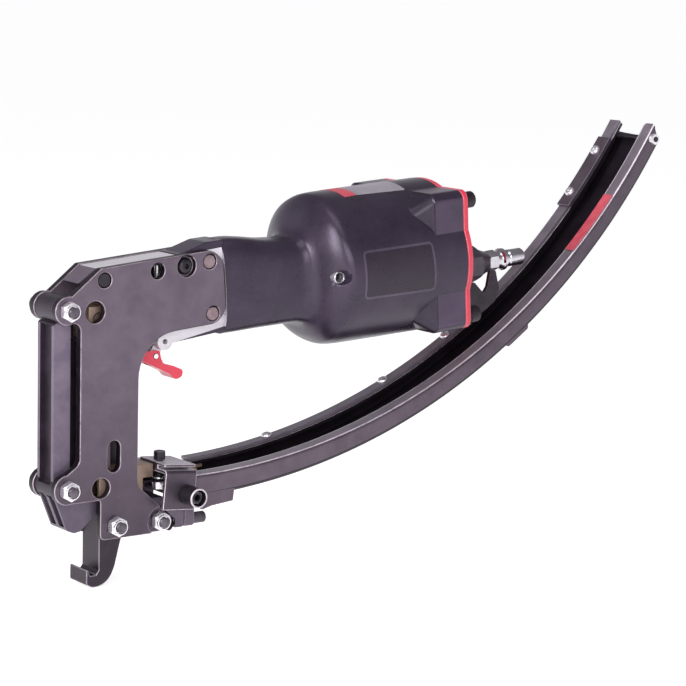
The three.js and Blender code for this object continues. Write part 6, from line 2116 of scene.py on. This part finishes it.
@dataclass
class Refined:
    """CAD pieces whose form is right: a merged copy gets eased edges and its finish."""

    frame: dict
    rows: tuple[tuple[str, Finish, Finish | None, float, str], ...] = (
        ("blade_guide", PLATE, EDGE, 0.4, "platesteel"),
        ("clip_track_insert", TAN, None, 0.35, "tan"),
        ("driver", TAN, None, 0.35, "tan"),
        ("upper_link", LINK, None, 0.3, "tan"),
        ("lower_link", LINK, None, 0.3, "tan"),
        ("push_link", BLACK, DARK_EDGE, 0.3, "blacksteel"),
        ("root_block", CAST, CAST_EDGE, 0.7, "casting"),
        ("root_cap", CAST, CAST_EDGE, 0.6, "casting"),
        ("magazine_bracket", BENT, FOLD, 0.35, "platesteel"),
        ("hold_down_leaf", BLACK, DARK_EDGE, 0.3, "blacksteel"),
        ("leaf_screw", BLACK, DARK_EDGE, 0.3, "blacksteel"),
        ("leaf_washer", ZINC, None, 0.2, "zinc"),
        ("leaf_nut", ZINC, None, 0.25, "zinc"),
        ("clip_pusher", TAN, None, 0.3, "tan"),
        ("piston", RAW, None, 0.5, "aluminium"),
        ("piston_seal", RUBBER, None, 0.5, "rubber"),
        ("bumper", RUBBER, None, 0.8, "rubber"),
        ("trigger_pin", ZINC, None, 0.2, "zinc"),
        ("valve_stem", ZINC, None, 0.2, "zinc"),
    )

    def build(self) -> None:
        """Refine each piece, and mount it where its node is."""
        for node, finish, edge, width, slot in self.rows:
            source = self.frame["nodes"][node]
            bm = bmesh.new()
            bm.from_mesh(source.data)
            obj = make(node + "_eased", bm)
            paint(obj, finish, edge or finish, TOP_FACE)
            soften(obj, width, slot=1, angle=35)
            # The bracket's upward faces get the painted highlight of TOP_FACE.
            if node == "magazine_bracket":
                dress(obj, lambda face: 2 if face.normal.z > 0.9 else face.material_index)
            mount(obj, slot, node, body=source["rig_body"])


@dataclass
class Studio:
    """Floor, light and camera."""

    focal: float = 2400.0
    picture: float = 686.0
    sensor: float = 36.0
    place: Sizes = (-0.67776, -1.14699, 0.35083)
    right: Sizes = (0.80299434, -0.59546024, 0.02504373)
    up: Sizes = (0.0756664, 0.14353862, 0.98674782)
    look: Sizes = (0.59116384, 0.79045795, -0.16031704)
    half_floor: float = 60.0
    glow: float = 0.74

    def floor(self) -> None:
        """A plain pale floor under the tool, which keeps its shadow."""
        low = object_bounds()[0][2]
        bm = bmesh.new()
        size = self.half_floor
        corners = [(-size, -size), (size, -size), (size, size), (-size, size)]
        bm.faces.new([bm.verts.new((x, y, low - 0.0005)) for x, y in corners])
        floor = make("floor", bm)
        made = bpy.data.materials.new("pale_floor")
        made.use_nodes = True
        tree = made.node_tree
        tree.nodes.clear()
        path = add_node(tree, "ShaderNodeLightPath").outputs
        seen = sum_of(tree, "MAXIMUM", path["Is Camera Ray"], path["Is Glossy Ray"])
        seen = sum_of(tree, "MAXIMUM", seen, path["Is Transmission Ray"])
        glow = sum_of(tree, "MULTIPLY", seen, self.glow)
        card = add_node(tree, "ShaderNodeBsdfDiffuse", inputs={"Color": to_linear("#ececec")})
        light = add_node(tree, "ShaderNodeEmission", inputs={"Strength": glow})
        both = add_node(tree, "ShaderNodeAddShader", inputs={0: card.outputs[0], 1: light.outputs[0]})
        add_node(tree, "ShaderNodeOutputMaterial", inputs={"Surface": both.outputs[0]})
        floor.data.materials.append(made)
        floor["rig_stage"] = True

    def world(self) -> None:
        """A pale room that is a little brighter overhead."""
        world = bpy.data.worlds.new("pale_room")
        bpy.context.scene.world = world
        world.use_nodes = True
        tree = world.node_tree
        tree.nodes.clear()
        way = add_node(tree, "ShaderNodeTexCoord").outputs["Generated"]
        up = add_node(tree, "ShaderNodeSeparateXYZ", inputs={"Vector": way}).outputs["Z"]
        ranges = {"Value": up, 1: 0.0, 2: 0.55, 3: 1.0, 4: 0.22}
        share = add_node(tree, "ShaderNodeMapRange", inputs=ranges)
        inputs = {"Color": to_linear("#fbfaff"), "Strength": share.outputs[0]}
        back = add_node(tree, "ShaderNodeBackground", inputs=inputs)
        add_node(tree, "ShaderNodeOutputWorld", inputs={"Surface": back.outputs[0]})

    def lamp(self, name: str, place: Sequence[float], power: float, wide: float, high: float) -> None:
        """One softbox that faces the tool.

        Args:
            name: Name of the light.
            place: Where it stands, in metres.
            power: Its power in watts.
            wide: Its width in metres.
            high: Its height in metres.
        """
        data = bpy.data.lights.new(name, "AREA")
        data.shape = "RECTANGLE"
        data.energy = power
        data.size = wide
        data.size_y = high
        lamp = bpy.data.objects.new(name, data)
        bpy.context.scene.collection.objects.link(lamp)
        aim = Vector((0.13, 0, 0.13)) - Vector(place)
        lamp.rotation_euler = aim.to_track_quat("-Z", "Y").to_euler()
        lamp.location = place

    def camera(self) -> None:
        """The camera at the photograph's place and angle."""
        data = bpy.data.cameras.new("camera")
        data.sensor_width = self.sensor
        data.lens = self.focal / self.picture * self.sensor
        data.clip_end = 200
        camera = bpy.data.objects.new("camera", data)
        bpy.context.scene.collection.objects.link(camera)
        rows = [[self.right[i], self.up[i], -self.look[i]] for i in range(3)]
        camera.matrix_world = Matrix.Translation(self.place) @ Matrix(rows).to_4x4()
        bpy.context.scene.camera = camera

    def build(self) -> None:
        """Set up the whole studio."""
        self.floor()
        self.world()
        self.lamp("overhead", (-0.1, -0.3, 1.2), 3.4, 0.8, 0.8)
        self.lamp("near_side", (-0.5, -1.0, 0.52), 4.3, 0.7, 0.5)
        self.lamp("front_strip", (-0.95, -0.25, 0.55), 7.0, 0.2, 0.7)
        self.camera()
        bpy.context.scene.view_settings.view_transform = "Standard"


def main() -> None:
    """Load the frame, dress the tool and set up the studio."""
    logging.basicConfig(level=logging.INFO, format="%(name)s %(message)s")
    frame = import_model()
    fasteners = Fasteners()
    housing = Housing()
    plates = SidePlates()
    for side in (-1, 1):
        plates.build(side)
    FrontCover().build()
    TopBlock().build()
    FrontHardware(fasteners).build()
    Magazine(fasteners).build()
    Bracket().build()
    housing.build()
    RearEnd(fasteners, housing).build()
    Trigger().build()
    Refined(frame).build()
    Studio().build()


if __name__ == "__main__":
    main()
